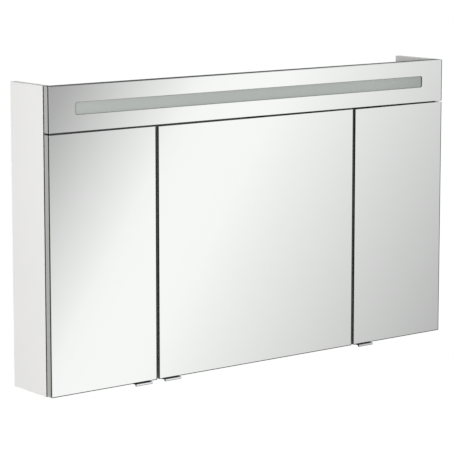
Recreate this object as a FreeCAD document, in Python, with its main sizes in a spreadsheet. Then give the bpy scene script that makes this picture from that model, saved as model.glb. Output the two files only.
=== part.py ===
import FreeCAD, Part
import Sketcher
import os
import re

# A wall-hung mirror cabinet: three hinged mirror doors under a mirrored light header.
# Millimetres. X runs to the right, Y from the front to the wall, Z up.
# Heights in the text below are above the underside of the cabinet, and the whole is lowered by the height of
# the wall screws, so the origin lies midway between them.
sizes = {
    # overall
    "width": 1200,
    "height": 710,
    "depth": 160,
    "hang_drop": 50,
    # boards and glass
    "panel_thick": 16,
    "board_thick": 16,
    "mirror_thick": 4,
    "rear_mirror_thick": 3,
    "back_thick": 3,
    "back_inset": 8.2,
    "groove_deep": 6,
    "groove_play": 0.2,
    # fronts
    "door_gap": 4,
    "door_reveal": 2,
    "header_height": 106,
    "header_gap": 3.5,
    "top_drop": 2,
    "side_door_width": 294,
    "door_split": 7,
    "rear_margin_hinge": 58,
    "rear_margin_free": 16,
    "rear_margin_ends": 22,
    # pulls under the doors
    "pull_width": 46.5,
    "pull_thick": 1.5,
    "pull_reach": 8,
    "pull_lip": 5,
    "pull_tail": 14,
    "pull_bend": 0.4,
    "pull_inset_left": 20,
    "pull_inset_right": 10,
    # panel joints
    "dowel_radius": 4,
    "dowel_length": 30,
    "dowel_share": 12,
    "dowel_share_flat": 10,
    "dowel_play": 0.05,
    "dowel_front": 34,
    "dowel_back": 96,
    "cam_radius": 7.5,
    "cam_deep": 12.5,
    "cam_from_end": 34,
    "cam_bolt_radius": 3,
    "cam_bolt_in_panel": 11,
    "cam_bolt_in_cam": 4,
    "cam_play": 0.05,
    # shelves
    "shelf_thick": 6,
    "shelf_depth": 105,
    "shelf_corner": 4,
    "shelf_side_play": 1.6,
    "shelf_back_play": 2.8,
    "shelf_low": 203,
    "shelf_high": 393,
    "pin_radius": 2.45,
    "pin_play": 0.05,
    "pin_peg": 7.2,
    "pin_hole_deep": 9,
    "pin_collar_radius": 4,
    "pin_collar_thick": 1.2,
    "pin_rest_radius": 3,
    "pin_rest_length": 8,
    "pin_pitch": 32,
    "pin_front": 37,
    "pin_back": 92,
    # wall hangers, of the same steel as the header brackets
    "hanger_wide": 52,
    "hanger_leg": 42,
    "hanger_below": 34,
    "hanger_above": 26,
    "key_in": 28,
    "key_radius": 6,
    "key_slot_radius": 3,
    "key_slot_rise": 14,
    # header brackets and their screws
    "bracket_thick": 2,
    "bracket_wide": 38,
    "bracket_leg": 44,
    "bracket_tall": 40,
    "bracket_low": 36,
    "bracket_mid_wide": 60,
    "bracket_mid_tall": 15,
    "screw_radius": 1.75,
    "screw_play": 0.05,
    "screw_length": 12,
    "screw_head_radius": 3.5,
    "screw_head_thick": 2,
    "screw_first": 14,
    "screw_step": 16,
    # light
    "strip_margin": 70,
    "strip_height": 29,
    "strip_drop": 39,
    "strip_corner": 5,
    "strip_recess": 2.5,
    "strip_play": 0.15,
    "diffuser_leg": 5,
    "diffuser_leg_thick": 1.2,
    "channel_play": 0.4,
    "channel_wall": 1.5,
    "channel_flange": 8,
    "channel_short": 4,
    "channel_cap_thick": 1.6,
    "channel_cap_play": 0.5,
    "light_board_thick": 1.6,
    "light_board_tall": 12,
    "light_board_short": 12,
    "chip_count": 24,
    "chip_wide": 3.5,
    "chip_tall": 2.8,
    "chip_thick": 0.8,
    # electrics
    "driver_left_of_divider": 190.5,
    "driver_length": 160,
    "driver_wide": 40,
    "driver_tall": 30,
    "driver_corner": 4,
    "driver_behind_header": 28,
    "driver_ear": 12,
    "driver_ear_thick": 3,
    "junction_right_of_divider": 39.5,
    "junction_length": 90,
    "junction_wide": 60,
    "junction_tall": 40,
    "junction_corner": 5,
    "junction_lid": 7,
    "junction_lid_over": 1,
    "junction_behind_header": 18,
    "gland_radius": 9,
    "gland_nut": 12,
    "gland_nut_thick": 5,
    "gland_length": 18,
    "gland_bore": 4.5,
    "lead_radius": 3.2,
    "lead_bend": 9,
    "lead_play": 0.3,
    # switch and socket
    "switch_right_of_divider": 36.5,
    "switch_length": 130,
    "switch_wide": 46,
    "switch_tall": 54,
    "switch_behind_front": 44,
    "switch_wall": 2.5,
    "switch_corner": 4,
    "socket_in": 32,
    "socket_radius": 21.5,
    "socket_flange": 24,
    "socket_flange_thick": 2,
    "socket_length": 24,
    "socket_bore": 19.3,
    "socket_deep": 17.5,
    "socket_pole": 9.5,
    "socket_pole_radius": 2.5,
    "socket_pole_deep": 4,
    "socket_play": 0.1,
    "rocker_in": 96,
    "rocker_wide": 20,
    "rocker_tall": 30,
    "rocker_thick": 8,
    "rocker_play": 0.5,
    "rocker_swing_play": 1,
    "rocker_tilt": 6,
    "rocker_dish": 1.2,
    "rocker_dish_radius": 60,
    "rocker_pin_radius": 0.8,
    "rocker_pin_length": 2,
    "rocker_pin_play": 0.05,
    # door bumpers
    "bumper_radius": 4,
    "bumper_play": 0.3,
    "bumper_inset": 26,
    # hinges: distances "in" from the hinge edge of the door, "deep" into and "behind" the back of its board
    "hinge_inset": 80,
    "arm_pin_rear_in": 43.5,
    "arm_pin_rear_behind": 13.7,
    "arm_pin_front_in": 30.4,
    "arm_pin_front_deep": 3.9,
    "cup_pin_outer_in": 13.2,
    "cup_pin_outer_deep": 1.8,
    "cup_pin_inner_in": 13.7,
    "cup_pin_inner_deep": 7.7,
    "hinge_pin_radius": 1.2,
    "hinge_pin_play": 0.05,
    "rivet_play": 0.02,
    "layer_play": 0.3,
    "inner_link_half": 2.8,
    "cheek_thick": 1.6,
    "outer_link_thick": 1.6,
    "cup_lug_thick": 1.8,
    "link_half_width": 2.3,
    "link_eye_half_width": 3.3,
    "link_slot_half_width": 2.05,
    "link_slot_less": 0.5,
    "link_slot_more": 2.3,
    "link_lean_more": 1.84,
    "arm_tip": 2.9,
    "arm_base_high": 12,
    "arm_base_start": 30,
    "arm_base_end": 64,
    "arm_web": 1.6,
    "arm_web_start": 22,
    "arm_sketch_shift": 40,
    "plate_high": 8,
    "plate_half": 5.5,
    "plate_start": 26,
    "plate_end": 66,
    "plate_wing_half": 22,
    "plate_wing_thick": 2.5,
    "plate_wing_start": 31,
    "plate_wing_end": 43,
    "cup_radius": 17.5,
    "cup_in": 22.5,
    "cup_deep": 11.5,
    "cup_wall": 1,
    "cup_floor": 0.8,
    "cup_play": 0.1,
    "cup_rim_radius": 19,
    "cup_rim_thick": 1.2,
    "cup_ear_half": 29,
    "cup_ear_half_wide": 5,
    "cup_ear_offset": 6,
    "cup_lug_half": 2.3,
    "cup_notch_from": 11,
    "cup_notch_deep": 3,
}

doc = FreeCAD.newDocument("mirror_cabinet")
sheet = doc.addObject("Spreadsheet::Sheet", "Sizes")
for row, (alias, value) in enumerate(sizes.items(), start=1):
    sheet.set("A%d" % row, alias)
    sheet.set("B%d" % row, str(value))
    sheet.setAlias("B%d" % row, alias)
doc.recompute()

nodes = []
heights = {}
turns = {
    "x": FreeCAD.Rotation(FreeCAD.Vector(0, 1, 0), 90),
    "y": FreeCAD.Rotation(FreeCAD.Vector(1, 0, 0), -90),
    "z": FreeCAD.Rotation(),
}
upright_turn = FreeCAD.Rotation(FreeCAD.Vector(0, 0, 1), 30)


def tie(item, key, text):
    def named(word):
        return "Sizes." + word.group() if word.group() in sizes else word.group()

    item.setExpression(key, re.sub(r"[a-z][a-z_]*", named, str(text)))


def put(item, place):
    for axis, text in zip("xyz", place):
        tie(item, "Placement.Base." + axis, text)
    heights[item.Name] = place[2]
    return item


def block(low, high):
    item = doc.addObject("Part::Box", "block")
    for key, a, b in zip(("Length", "Width", "Height"), low, high):
        tie(item, key, "(%s) - (%s)" % (b, a))
    return put(item, low)


def rod(way, start, radius, length):
    item = doc.addObject("Part::Cylinder", "rod")
    item.Placement = FreeCAD.Placement(FreeCAD.Vector(), turns[way])
    tie(item, "Radius", radius)
    tie(item, "Height", length)
    return put(item, start)


def joined(items):
    item = doc.addObject("Part::MultiFuse", "joined")
    item.Shapes = items
    item.Refine = True
    return item


def rounded_block(low, high, corner):
    (x_low, y_low, z_low), (x_high, y_high, z_high) = low, high
    ways_x = ("%s + %s" % (x_low, corner), "%s - %s" % (x_high, corner))
    ways_y = ("%s + %s" % (y_low, corner), "%s - %s" % (y_high, corner))
    parts = [block((ways_x[0], y_low, z_low), (ways_x[1], y_high, z_high)),
             block((x_low, ways_y[0], z_low), (x_high, ways_y[1], z_high))]
    for x in ways_x:
        parts += [rod("z", (x, y, z_low), corner, "(%s) - (%s)" % (z_high, z_low)) for y in ways_y]
    return joined(parts)


def group(items):
    item = doc.addObject("Part::Compound", "group")
    item.Links = items
    return item


def without(item, tools):
    rest = doc.addObject("Part::Cut", "without")
    rest.Base = item
    rest.Tool = tools[0] if len(tools) == 1 else group(tools)
    return rest


def mirrored(item):
    twin = doc.addObject("Part::Mirroring", "mirrored")
    twin.Source = item
    twin.Normal = FreeCAD.Vector(1, 0, 0)
    return twin


def copies(item, places):
    links = []
    for place in places:
        link = doc.addObject("App::Link", "copy")
        link.LinkedObject = item
        links.append(put(link, place))
    return links


def bar(start, end, half, low, high):
    run = "((%s) - (%s))" % (end[0], start[0])
    rise = "((%s) - (%s))" % (end[1], start[1])
    span = "hypot(%s; %s)" % (run, rise)
    beam = doc.addObject("Part::Box", "beam")
    beam.Placement = FreeCAD.Placement(FreeCAD.Vector(), upright_turn)
    tie(beam, "Length", span)
    tie(beam, "Width", "2 * (%s)" % half)
    tie(beam, "Height", "(%s) - (%s)" % (high, low))
    tie(beam, "Placement.Rotation.Angle", "atan2(%s; %s)" % (rise, run))
    put(beam, ("%s + (%s) * %s / %s" % (start[0], half, rise, span),
               "%s - (%s) * %s / %s" % (start[1], half, run, span), low))
    ends = [rod("z", (x, y, low), half, "(%s) - (%s)" % (high, low)) for x, y in (start, end)]
    return joined([beam] + ends)


def node(label, item):
    item.Label = label
    tie(item, "Placement.Base.z", "(%s) - %s" % (heights.get(item.Name, 0), hang_level))
    nodes.append(item)


# planes and edges that several pieces share
left = "-width / 2"
right = "width / 2"
bay_left = "-width / 2 + panel_thick"
bay_right = "width / 2 - panel_thick"
face = "-depth"
board_front = "-(depth - mirror_thick)"
board_back = "-(depth - mirror_thick - board_thick)"
carcass_front = "-(depth - mirror_thick - board_thick - door_gap)"
header_low = "(height - header_height)"
door_low = "door_reveal"
door_high = "(height - header_height - header_gap)"
top_high = "(height - header_height - top_drop)"
top_low = "(height - header_height - top_drop - panel_thick)"
divider_mid = "(width / 2 - side_door_width - door_split / 2)"
divider_near = divider_mid + " - panel_thick / 2"
divider_far = divider_mid + " + panel_thick / 2"
back_front = "-(back_inset + back_thick)"
groove_front = "-(back_inset + back_thick + groove_play)"
groove_back = "-(back_inset - groove_play)"
hang_level = "(height - hang_drop)"
strip_mid = "(height - strip_drop - strip_height / 2)"
strip_end = "(width / 2 - strip_margin)"
half_crank = "(panel_thick / 2 + door_split / 2)"

# bores that several pieces share
dowel_bore = "dowel_radius + dowel_play"
screw_bore = "screw_radius + screw_play"
cam_bolt_bore = "cam_bolt_radius + cam_play"

shelf_heights = ("shelf_low", "shelf_high")
pin_ways = ("%s + pin_front" % carcass_front, "%s + pin_back" % carcass_front)
dowel_ways = ("%s + dowel_front" % carcass_front, "%s + dowel_back" % carcass_front)
cam_way = "%s + (dowel_front + dowel_back) / 2" % carcass_front
deck_mids = ("panel_thick / 2", top_low + " + panel_thick / 2")
junction_left = "%s + junction_right_of_divider" % divider_mid
junction_mid = junction_left + " + junction_length / 2"


def shelf_holes(start, length):
    holes = []
    for height in shelf_heights:
        for way in pin_ways:
            for step in (-1, 0, 1):
                level = "%s - pin_rest_radius + %d * pin_pitch" % (height, step)
                holes.append(rod("x", (start, way, level), "pin_radius + pin_play", length))
    return holes


def side_screws(way_front, level):
    return [(("%s + screw_first + %d * screw_step" % (way_front, step)), level) for step in (0, 1)]


hanger_level = hang_level + " - hanger_below + screw_first"
bracket_level = header_low + " + bracket_low + bracket_tall / 2"
screw_spots = side_screws("-hanger_leg", hanger_level) + side_screws(board_back, bracket_level)
mid_ways = [("%d * bracket_mid_wide / 3" % step, board_back + " + bracket_leg / 2") for step in (-1, 1)]

# side panels
for label, outer, inner in (("left_side_panel", left, bay_left), ("right_side_panel", right, bay_right)):
    on_left = outer == left
    panel = block((outer if on_left else inner, carcass_front, 0), (inner if on_left else outer, 0, "height"))

    def inward(deep):
        return "%s - (%s)" % (inner, deep) if on_left else inner

    tools = shelf_holes(inward("pin_hole_deep"), "pin_hole_deep")
    groove_from = inward("groove_deep")
    tools.append(block((groove_from, groove_front, "panel_thick - groove_deep"),
                       (groove_from + " + groove_deep", groove_back, top_low + " + groove_deep")))
    for deck in deck_mids:
        for way in dowel_ways:
            tools.append(rod("x", (inward("dowel_share"), way, deck), dowel_bore, "dowel_share"))
        start = inward("cam_bolt_in_panel")
        tools.append(rod("x", (start, cam_way, deck), cam_bolt_bore, "cam_bolt_in_panel"))
    for way, level in screw_spots:
        tools.append(rod("x", (inward("screw_length"), way, level), screw_bore, "screw_length"))
    node(label, without(panel, tools))

# bottom and top panel
for label, low, deck in (("bottom_panel", "0", deck_mids[0]), ("top_panel", top_low, deck_mids[1])):
    at_bottom = label == "bottom_panel"
    panel = block((bay_left, carcass_front, low), (bay_right, 0, low + " + panel_thick"))
    groove_from = "panel_thick - groove_deep" if at_bottom else top_low
    groove_to = groove_from + " + groove_deep"
    tools = [block((bay_left, groove_front, groove_from), (bay_right, groove_back, groove_to))]
    cam_from = low if at_bottom else top_high + " - cam_deep"
    stub_from = "panel_thick - dowel_share_flat" if at_bottom else top_low
    for side, end in ((1, bay_left), (-1, bay_right)):
        for way in dowel_ways:
            start = end if side == 1 else end + " - (dowel_length - dowel_share)"
            tools.append(rod("x", (start, way, deck), dowel_bore, "dowel_length - dowel_share"))
        cam_at = "%s + %d * cam_from_end" % (end, side)
        start = end if side == 1 else end + " - cam_from_end"
        bore = rod("x", (start, cam_way, deck), cam_bolt_bore, "cam_from_end")
        seat = rod("z", (cam_at, cam_way, cam_from), "cam_radius + cam_play", "cam_deep")
        tools.append(joined([bore, seat]))
        for way in dowel_ways:
            at = "%d * %s" % (side, divider_mid)
            tools.append(rod("z", (at, way, stub_from), dowel_bore, "dowel_share_flat"))
    if not at_bottom:
        tools.append(rod("z", (junction_mid, cam_way, top_low),
                         "lead_radius + lead_play", "panel_thick"))
        tools += [rod("z", (at, way, top_high + " - screw_length"), screw_bore, "screw_length")
                  for at, way in mid_ways]
    node(label, without(panel, tools))

# dividers
for label, side in (("left_divider", -1), ("right_divider", 1)):
    near = "%d * %s - panel_thick / 2" % (side, divider_mid)
    panel = block((near, carcass_front, "panel_thick"), (near + " + panel_thick", groove_front, top_low))
    tools = shelf_holes(near, "panel_thick")
    for way in dowel_ways:
        for start in ("panel_thick", top_low + " - (dowel_length - dowel_share_flat)"):
            tools.append(rod("z", ("%d * %s" % (side, divider_mid), way, start),
                             dowel_bore, "dowel_length - dowel_share_flat"))
    node(label, without(panel, tools))

# back panel in its groove
node("back_panel", block((bay_left + " - groove_deep + groove_play", back_front, "panel_thick - groove_deep"),
                         (bay_right + " + groove_deep - groove_play", "-back_inset",
                          top_low + " + groove_deep - groove_play")))

# dowels and cam connectors
dowels = []
cams = []
for deck, cam_from in zip(deck_mids, ("0", top_high + " - cam_deep")):
    for side, end in ((1, bay_left), (-1, bay_right)):
        start = end + (" - dowel_share" if side == 1 else " - (dowel_length - dowel_share)")
        dowels += [rod("x", (start, way, deck), "dowel_radius", "dowel_length") for way in dowel_ways]
        cam_at = "%s + %d * cam_from_end" % (end, side)
        bolt_long = "cam_bolt_in_panel + cam_from_end - cam_radius + cam_bolt_in_cam"
        reach = "cam_bolt_in_panel" if side == 1 else "%s - cam_bolt_in_panel" % bolt_long
        start = "%s - (%s)" % (end, reach)
        bolt = rod("x", (start, cam_way, deck), "cam_bolt_radius", bolt_long)
        hollow = rod("x", (start, cam_way, deck), cam_bolt_bore, bolt_long)
        cam = rod("z", (cam_at, cam_way, cam_from), "cam_radius", "cam_deep")
        cams += [bolt, without(cam, [hollow])]
for side in (-1, 1):
    for start in ("panel_thick - dowel_share_flat", top_low + " + dowel_share_flat - dowel_length"):
        dowels += [rod("z", ("%d * %s" % (side, divider_mid), way, start), "dowel_radius", "dowel_length")
                   for way in dowel_ways]
node("carcass_dowels", group(dowels))
node("cam_connectors", group(cams))

# glass shelves on their pins
pin = joined([rod("x", ("-pin_peg", 0, 0), "pin_radius", "pin_peg"),
              rod("x", (0, 0, 0), "pin_collar_radius", "pin_collar_thick"),
              rod("x", (0, 0, 0), "pin_rest_radius", "pin_rest_length")])
pin_twin = mirrored(pin)
pins = []
shelf_back = back_front + " - shelf_back_play"
bays = (("left", bay_left, "-%s" % divider_mid + " - panel_thick / 2"),
        ("middle", "-%s" % divider_mid + " + panel_thick / 2", divider_near),
        ("right", divider_far, bay_right))
for label, low, high in bays:
    shelf_from = low + " + shelf_side_play"
    shelf_to = high + " - shelf_side_play"
    shelves = [rounded_block((shelf_from, shelf_back + " - shelf_depth", level),
                             (shelf_to, shelf_back, level + " + shelf_thick"), "shelf_corner")
               for level in shelf_heights]
    node(label + "_shelves", group(shelves))
    for level in shelf_heights:
        for way in pin_ways:
            spot = (way, level + " - pin_rest_radius")
            pins += copies(pin, [(low,) + spot]) + copies(pin_twin, [(high,) + spot])
node("shelf_pins", group(pins))

# wall hangers, header brackets and their screws
hanger_low = hang_level + " - hanger_below"
hanger_high = hang_level + " + hanger_above"
for label, side, inner in (("left_hanger", 1, bay_left), ("right_hanger", -1, bay_right)):
    key_at = "%s + %d * key_in" % (inner, side)
    wide = inner if side == 1 else inner + " - hanger_wide"
    leg = inner if side == 1 else inner + " - bracket_thick"
    angle = joined([block((wide, "-bracket_thick", hanger_low), (wide + " + hanger_wide", 0, hanger_high)),
                    block((leg, "-hanger_leg", hanger_low), (leg + " + bracket_thick", 0, hanger_high))])
    key_high = hang_level + " + key_slot_rise"
    slot = block((key_at + " - key_slot_radius", "-bracket_thick", hang_level),
                 (key_at + " + key_slot_radius", 0, key_high))
    entry = rod("y", (key_at, "-bracket_thick", hang_level), "key_radius", "bracket_thick")
    crown = rod("y", (key_at, "-bracket_thick", key_high), "key_slot_radius", "bracket_thick")
    holes = [rod("x", (leg, way, level), screw_bore, "bracket_thick")
             for way, level in side_screws("-hanger_leg", hanger_level)]
    node(label, without(angle, [joined([slot, entry, crown])] + holes))

screw = joined([rod("x", ("-screw_length", 0, 0), "screw_radius", "screw_length + bracket_thick"),
                rod("x", ("bracket_thick", 0, 0), "screw_head_radius", "screw_head_thick")])
screw_twin = mirrored(screw)
screw_down = joined([rod("z", (0, 0, "-screw_length"), "screw_radius", "screw_length + bracket_thick"),
                     rod("z", (0, 0, "bracket_thick"), "screw_head_radius", "screw_head_thick")])
screw_forward = joined([rod("y", (0, "-screw_length", 0), "screw_radius", "screw_length + bracket_thick"),
                        rod("y", (0, "bracket_thick", 0), "screw_head_radius", "screw_head_thick")])
bracket_from = header_low + " + bracket_low"
bracket_to = bracket_from + " + bracket_tall"
mid_to = header_low + " + bracket_mid_tall"
header_spots = []
brackets = []
for side, inner in ((1, bay_left), (-1, bay_right)):
    wide = inner if side == 1 else inner + " - bracket_wide"
    leg = inner if side == 1 else inner + " - bracket_thick"
    angle = joined([block((wide, board_back, bracket_from),
                          (wide + " + bracket_wide", board_back + " + bracket_thick", bracket_to)),
                    block((leg, board_back, bracket_from),
                          (leg + " + bracket_thick", board_back + " + bracket_leg", bracket_to))])
    holes = [rod("x", (leg, way, level), screw_bore, "bracket_thick")
             for way, level in side_screws(board_back, bracket_level)]
    spots = [("%s + %d * (screw_first + %d * screw_step)" % (inner, side, step), bracket_level)
             for step in (0, 1)]
    holes += [rod("y", (at, board_back, level), screw_bore, "bracket_thick") for at, level in spots]
    header_spots += spots
    brackets.append(without(angle, holes))
node("header_side_brackets", group(brackets))
mid_spots = [("%d * bracket_mid_wide / 3" % step, header_low + " + bracket_mid_tall / 2") for step in (-1, 1)]
mid_left = "-bracket_mid_wide / 2"
mid_right = "bracket_mid_wide / 2"
angle = joined([block((mid_left, board_back, top_high), (mid_right, board_back + " + bracket_thick", mid_to)),
                block((mid_left, board_back, top_high),
                      (mid_right, board_back + " + bracket_leg", top_high + " + bracket_thick"))])
holes = [rod("y", (at, board_back, level), screw_bore, "bracket_thick") for at, level in mid_spots]
holes += [rod("z", (at, way, top_high), screw_bore, "bracket_thick") for at, way in mid_ways]
node("header_mid_bracket", without(angle, holes))
header_spots += mid_spots
screws = copies(screw, [(bay_left, way, level) for way, level in screw_spots])
screws += copies(screw_twin, [(bay_right, way, level) for way, level in screw_spots])
screws += copies(screw_forward, [(at, board_back, level) for at, level in header_spots])
screws += copies(screw_down, [(at, way, top_high) for at, way in mid_ways])
node("bracket_screws", group(screws))


# the light header
def rounded(start, end, less):
    half_long = "(%s - (%s))" % (strip_end, less)
    half_tall = "(strip_height / 2 - (%s))" % less
    corner = "(strip_corner - (%s))" % less
    parts = [block(("-%s + %s" % (half_long, corner), start, "%s - %s" % (strip_mid, half_tall)),
                   ("%s - %s" % (half_long, corner), end, "%s + %s" % (strip_mid, half_tall))),
             block(("-%s" % half_long, start, "%s - %s + %s" % (strip_mid, half_tall, corner)),
                   (half_long, end, "%s + %s - %s" % (strip_mid, half_tall, corner)))]
    for side in (-1, 1):
        for rise in (-1, 1):
            spot = ("%d * (%s - %s)" % (side, half_long, corner), start,
                    "%s + %d * (%s - %s)" % (strip_mid, rise, half_tall, corner))
            parts.append(rod("y", spot, corner, "(%s) - (%s)" % (end, start)))
    return joined(parts)


board = block((left, board_front, header_low), (right, board_back, "height"))
holes = [rod("y", (at, board_back + " - screw_length", level), screw_bore, "screw_length")
         for at, level in header_spots]
node("header_board", without(board, [rounded(board_front, board_back, "0")] + holes))
glass = block((left, face, header_low), (right, board_front, "height"))
node("header_mirror", without(glass, [rounded(face, board_front, "0")]))

channel_half = "(strip_height / 2 - channel_play)"
channel_end = "(%s - channel_short)" % strip_end
channel_room = "(strip_height / 2 - channel_play - channel_wall)"
leg_end = "(%s - channel_short - strip_corner)" % strip_end
legs = []
for rise in (-1, 1):
    leg_mid = "%s + %d * (%s - strip_play - diffuser_leg_thick / 2)" % (strip_mid, rise, channel_room)
    legs.append(block(("-" + leg_end, board_front, leg_mid + " - diffuser_leg_thick / 2"),
                      (leg_end, board_front + " + diffuser_leg", leg_mid + " + diffuser_leg_thick / 2")))
diffuser_front = face + " + strip_recess"
node("light_diffuser", joined([rounded(diffuser_front, board_front, "strip_play")] + legs))
channel_back = board_back + " + channel_wall"
channel = [block(("-%s" % channel_end, board_back, "%s - %s - channel_flange" % (strip_mid, channel_half)),
                 (channel_end, channel_back, "%s + %s + channel_flange" % (strip_mid, channel_half)))]
for rise in (-1, 1):
    wall_mid = "%s + %d * (%s - channel_wall / 2)" % (strip_mid, rise, channel_half)
    channel.append(block(("-%s" % channel_end, board_front, wall_mid + " - channel_wall / 2"),
                         (channel_end, board_back, wall_mid + " + channel_wall / 2")))
node("light_channel", joined(channel))
cap_half = "(strip_height / 2 - channel_play - channel_cap_play)"
caps = []
for start in ("-%s - channel_cap_thick" % channel_end, channel_end):
    caps.append(block((start, board_front + " + channel_cap_play", "%s - %s" % (strip_mid, cap_half)),
                      (start + " + channel_cap_thick", board_back, "%s + %s" % (strip_mid, cap_half))))
node("light_channel_caps", group(caps))
light_end = "(%s - light_board_short)" % strip_end
light_front = board_back + " - light_board_thick"
node("light_board", block(("-%s" % light_end, light_front, "%s - light_board_tall / 2" % strip_mid),
                          (light_end, board_back, "%s + light_board_tall / 2" % strip_mid)))
chip_low = "%s - chip_tall / 2" % strip_mid
chips = []
for index in range(sizes["chip_count"]):
    chip_at = "-%s + 2 * %s * (%d + 0.5) / chip_count" % (light_end, light_end, index)
    chips.append(block((chip_at + " - chip_wide / 2", light_front + " - chip_thick", chip_low),
                       (chip_at + " + chip_wide / 2", light_front, chip_low + " + chip_tall")))
node("light_chips", group(chips))

# driver, junction box, gland and the leads between them
driver_left = "%s - driver_left_of_divider" % divider_mid
driver_far = driver_left + " + driver_length"
driver_front = board_back + " + driver_behind_header"
driver_back = driver_front + " + driver_wide"
driver_mid = top_high + " + driver_tall / 2"
ear_front = driver_front + " + 0.25 * driver_wide"
ear_back = driver_front + " + 0.75 * driver_wide"
node("light_driver", joined([
    rounded_block((driver_left, driver_front, top_high),
                  (driver_far, driver_back, top_high + " + driver_tall"), "driver_corner"),
    block((driver_left + " - driver_ear", ear_front, top_high),
          (driver_far + " + driver_ear", ear_back, top_high + " + driver_ear_thick"))]))
junction_front = board_back + " + junction_behind_header"
junction_back = junction_front + " + junction_wide"
junction_level = top_high + " + junction_tall / 2"
junction_far = junction_left + " + junction_length"
lid_low = top_high + " + junction_tall - junction_lid"
box = rounded_block((junction_left, junction_front, top_high), (junction_far, junction_back, lid_low),
                    "junction_corner")
lid = rounded_block([edge + " - junction_lid_over" for edge in (junction_left, junction_front)] + [lid_low],
                    [edge + " + junction_lid_over" for edge in (junction_far, junction_back)]
                    + [top_high + " + junction_tall"], "(junction_corner + junction_lid_over)")
inlet = rod("y", (junction_mid, junction_back + " - gland_nut_thick", junction_level), "gland_bore",
            "gland_nut_thick")
node("junction_box", group([without(box, [inlet]), lid]))
nut = doc.addObject("Part::Prism", "nut")
nut.Polygon = 6
nut.Placement = FreeCAD.Placement(FreeCAD.Vector(), turns["y"])
tie(nut, "Circumradius", "gland_nut")
tie(nut, "Height", "gland_nut_thick")
put(nut, (junction_mid, junction_back, junction_level))
neck = rod("y", (junction_mid, junction_back, junction_level), "gland_radius", "gland_length")
bore = rod("y", (junction_mid, junction_back, junction_level), "gland_bore", "gland_length")
node("mains_gland", without(joined([nut, neck]), [bore]))
node("mains_lead", rod("x", (driver_far, driver_front + " + driver_wide / 2", driver_mid), "lead_radius",
                       "junction_right_of_divider + driver_left_of_divider - driver_length"))
node("switch_lead", rod("z", (junction_mid, cam_way, top_low), "lead_radius", "panel_thick"))

lead_x = driver_left + " + driver_length / 2"
lead_gap = "(%s) - (%s)" % (driver_front, channel_back)
lead_run = "((%s) / 2 - lead_bend)" % lead_gap
lead_turn = "%s - %s" % (driver_front, lead_run)
lead_rise = "(%s) - (%s) - 2 * lead_bend" % (strip_mid, driver_mid)
back = FreeCAD.Vector(0, 1, 0)
down = FreeCAD.Vector(0, 0, -1)
lead_low = driver_mid + " + lead_bend"
pieces = [rod("y", (lead_x, lead_turn, driver_mid), "lead_radius", lead_run),
          rod("z", (lead_x, lead_turn + " - lead_bend", lead_low), "lead_radius", lead_rise),
          rod("y", (lead_x, channel_back, strip_mid), "lead_radius", lead_run)]
for spot, start, end in (((lead_x, lead_turn, lead_low), down, -back),
                         ((lead_x, lead_turn + " - 2 * lead_bend", strip_mid + " - lead_bend"), back, -down)):
    bend = doc.addObject("Part::Torus", "bend")
    turned = FreeCAD.Rotation(start, end, start.cross(end), "XYZ")
    bend.Placement = FreeCAD.Placement(FreeCAD.Vector(), turned)
    bend.Angle3 = 90
    tie(bend, "Radius1", "lead_bend")
    tie(bend, "Radius2", "lead_radius")
    pieces.append(put(bend, spot))
node("light_lead", joined(pieces))

# switch and socket under the top panel, inside the right compartment
switch_left = divider_far + " + switch_right_of_divider"
switch_far = switch_left + " + switch_length"
switch_front = carcass_front + " + switch_behind_front"
switch_back = switch_front + " + switch_wide"
switch_low = top_low + " - switch_tall"
switch_mid = top_low + " - switch_tall / 2"
socket_at = switch_left + " + socket_in"
rocker_at = switch_left + " + rocker_in"
pivot_way = switch_front + " + switch_wall / 2"
outside = rounded_block((switch_left, switch_front, switch_low), (switch_far, switch_back, top_low),
                        "switch_corner")
inside = block([low + " + switch_wall" for low in (switch_left, switch_front, switch_low)],
               (switch_far + " - switch_wall", switch_back + " - switch_wall", top_low))
shell = without(outside, [inside])
rocker_half = "(rocker_wide / 2 + rocker_play)"
rocker_rise = "(rocker_tall / 2 + rocker_swing_play)"
opening = block(("%s - %s" % (rocker_at, rocker_half), switch_front, "%s - %s" % (switch_mid, rocker_rise)),
                ("%s + %s" % (rocker_at, rocker_half), switch_front + " + switch_wall",
                 "%s + %s" % (switch_mid, rocker_rise)))
pivot_half = "(rocker_wide / 2 + rocker_pin_length)"
pivot = rod("x", ("%s - %s - rocker_play" % (rocker_at, pivot_half), pivot_way, switch_mid),
            "rocker_pin_radius + rocker_pin_play", "2 * %s + 2 * rocker_play" % pivot_half)
seat = rod("y", (socket_at, switch_front, switch_mid), "socket_radius + socket_play", "switch_wall")
node("switch_box", without(shell, [seat, joined([opening, pivot])]))
socket_front = switch_front + " - socket_flange_thick"
insert = joined([rod("y", (socket_at, socket_front, switch_mid), "socket_radius", "socket_length"),
                 rod("y", (socket_at, socket_front, switch_mid), "socket_flange", "socket_flange_thick")])
recess = [rod("y", (socket_at, socket_front, switch_mid), "socket_bore", "socket_deep")]
for side in (-1, 1):
    recess.append(rod("y", ("%s + %d * socket_pole" % (socket_at, side), socket_front, switch_mid),
                      "socket_pole_radius", "socket_deep + socket_pole_deep"))
node("socket_insert", without(insert, [joined(recess)]))
key = block(("-rocker_wide / 2", "-rocker_thick / 2", "-rocker_tall / 2"),
            ("rocker_wide / 2", "rocker_thick / 2", "rocker_tall / 2"))
dish = rod("x", ("-rocker_wide / 2", "rocker_dish - rocker_thick / 2 - rocker_dish_radius", 0),
           "rocker_dish_radius", "rocker_wide")
rocker = joined([without(key, [dish]),
                 rod("x", ("-%s" % pivot_half, 0, 0), "rocker_pin_radius", "2 * %s" % pivot_half)])
rocker.Placement = FreeCAD.Placement(FreeCAD.Vector(), FreeCAD.Rotation(FreeCAD.Vector(1, 0, 0), 30))
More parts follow.
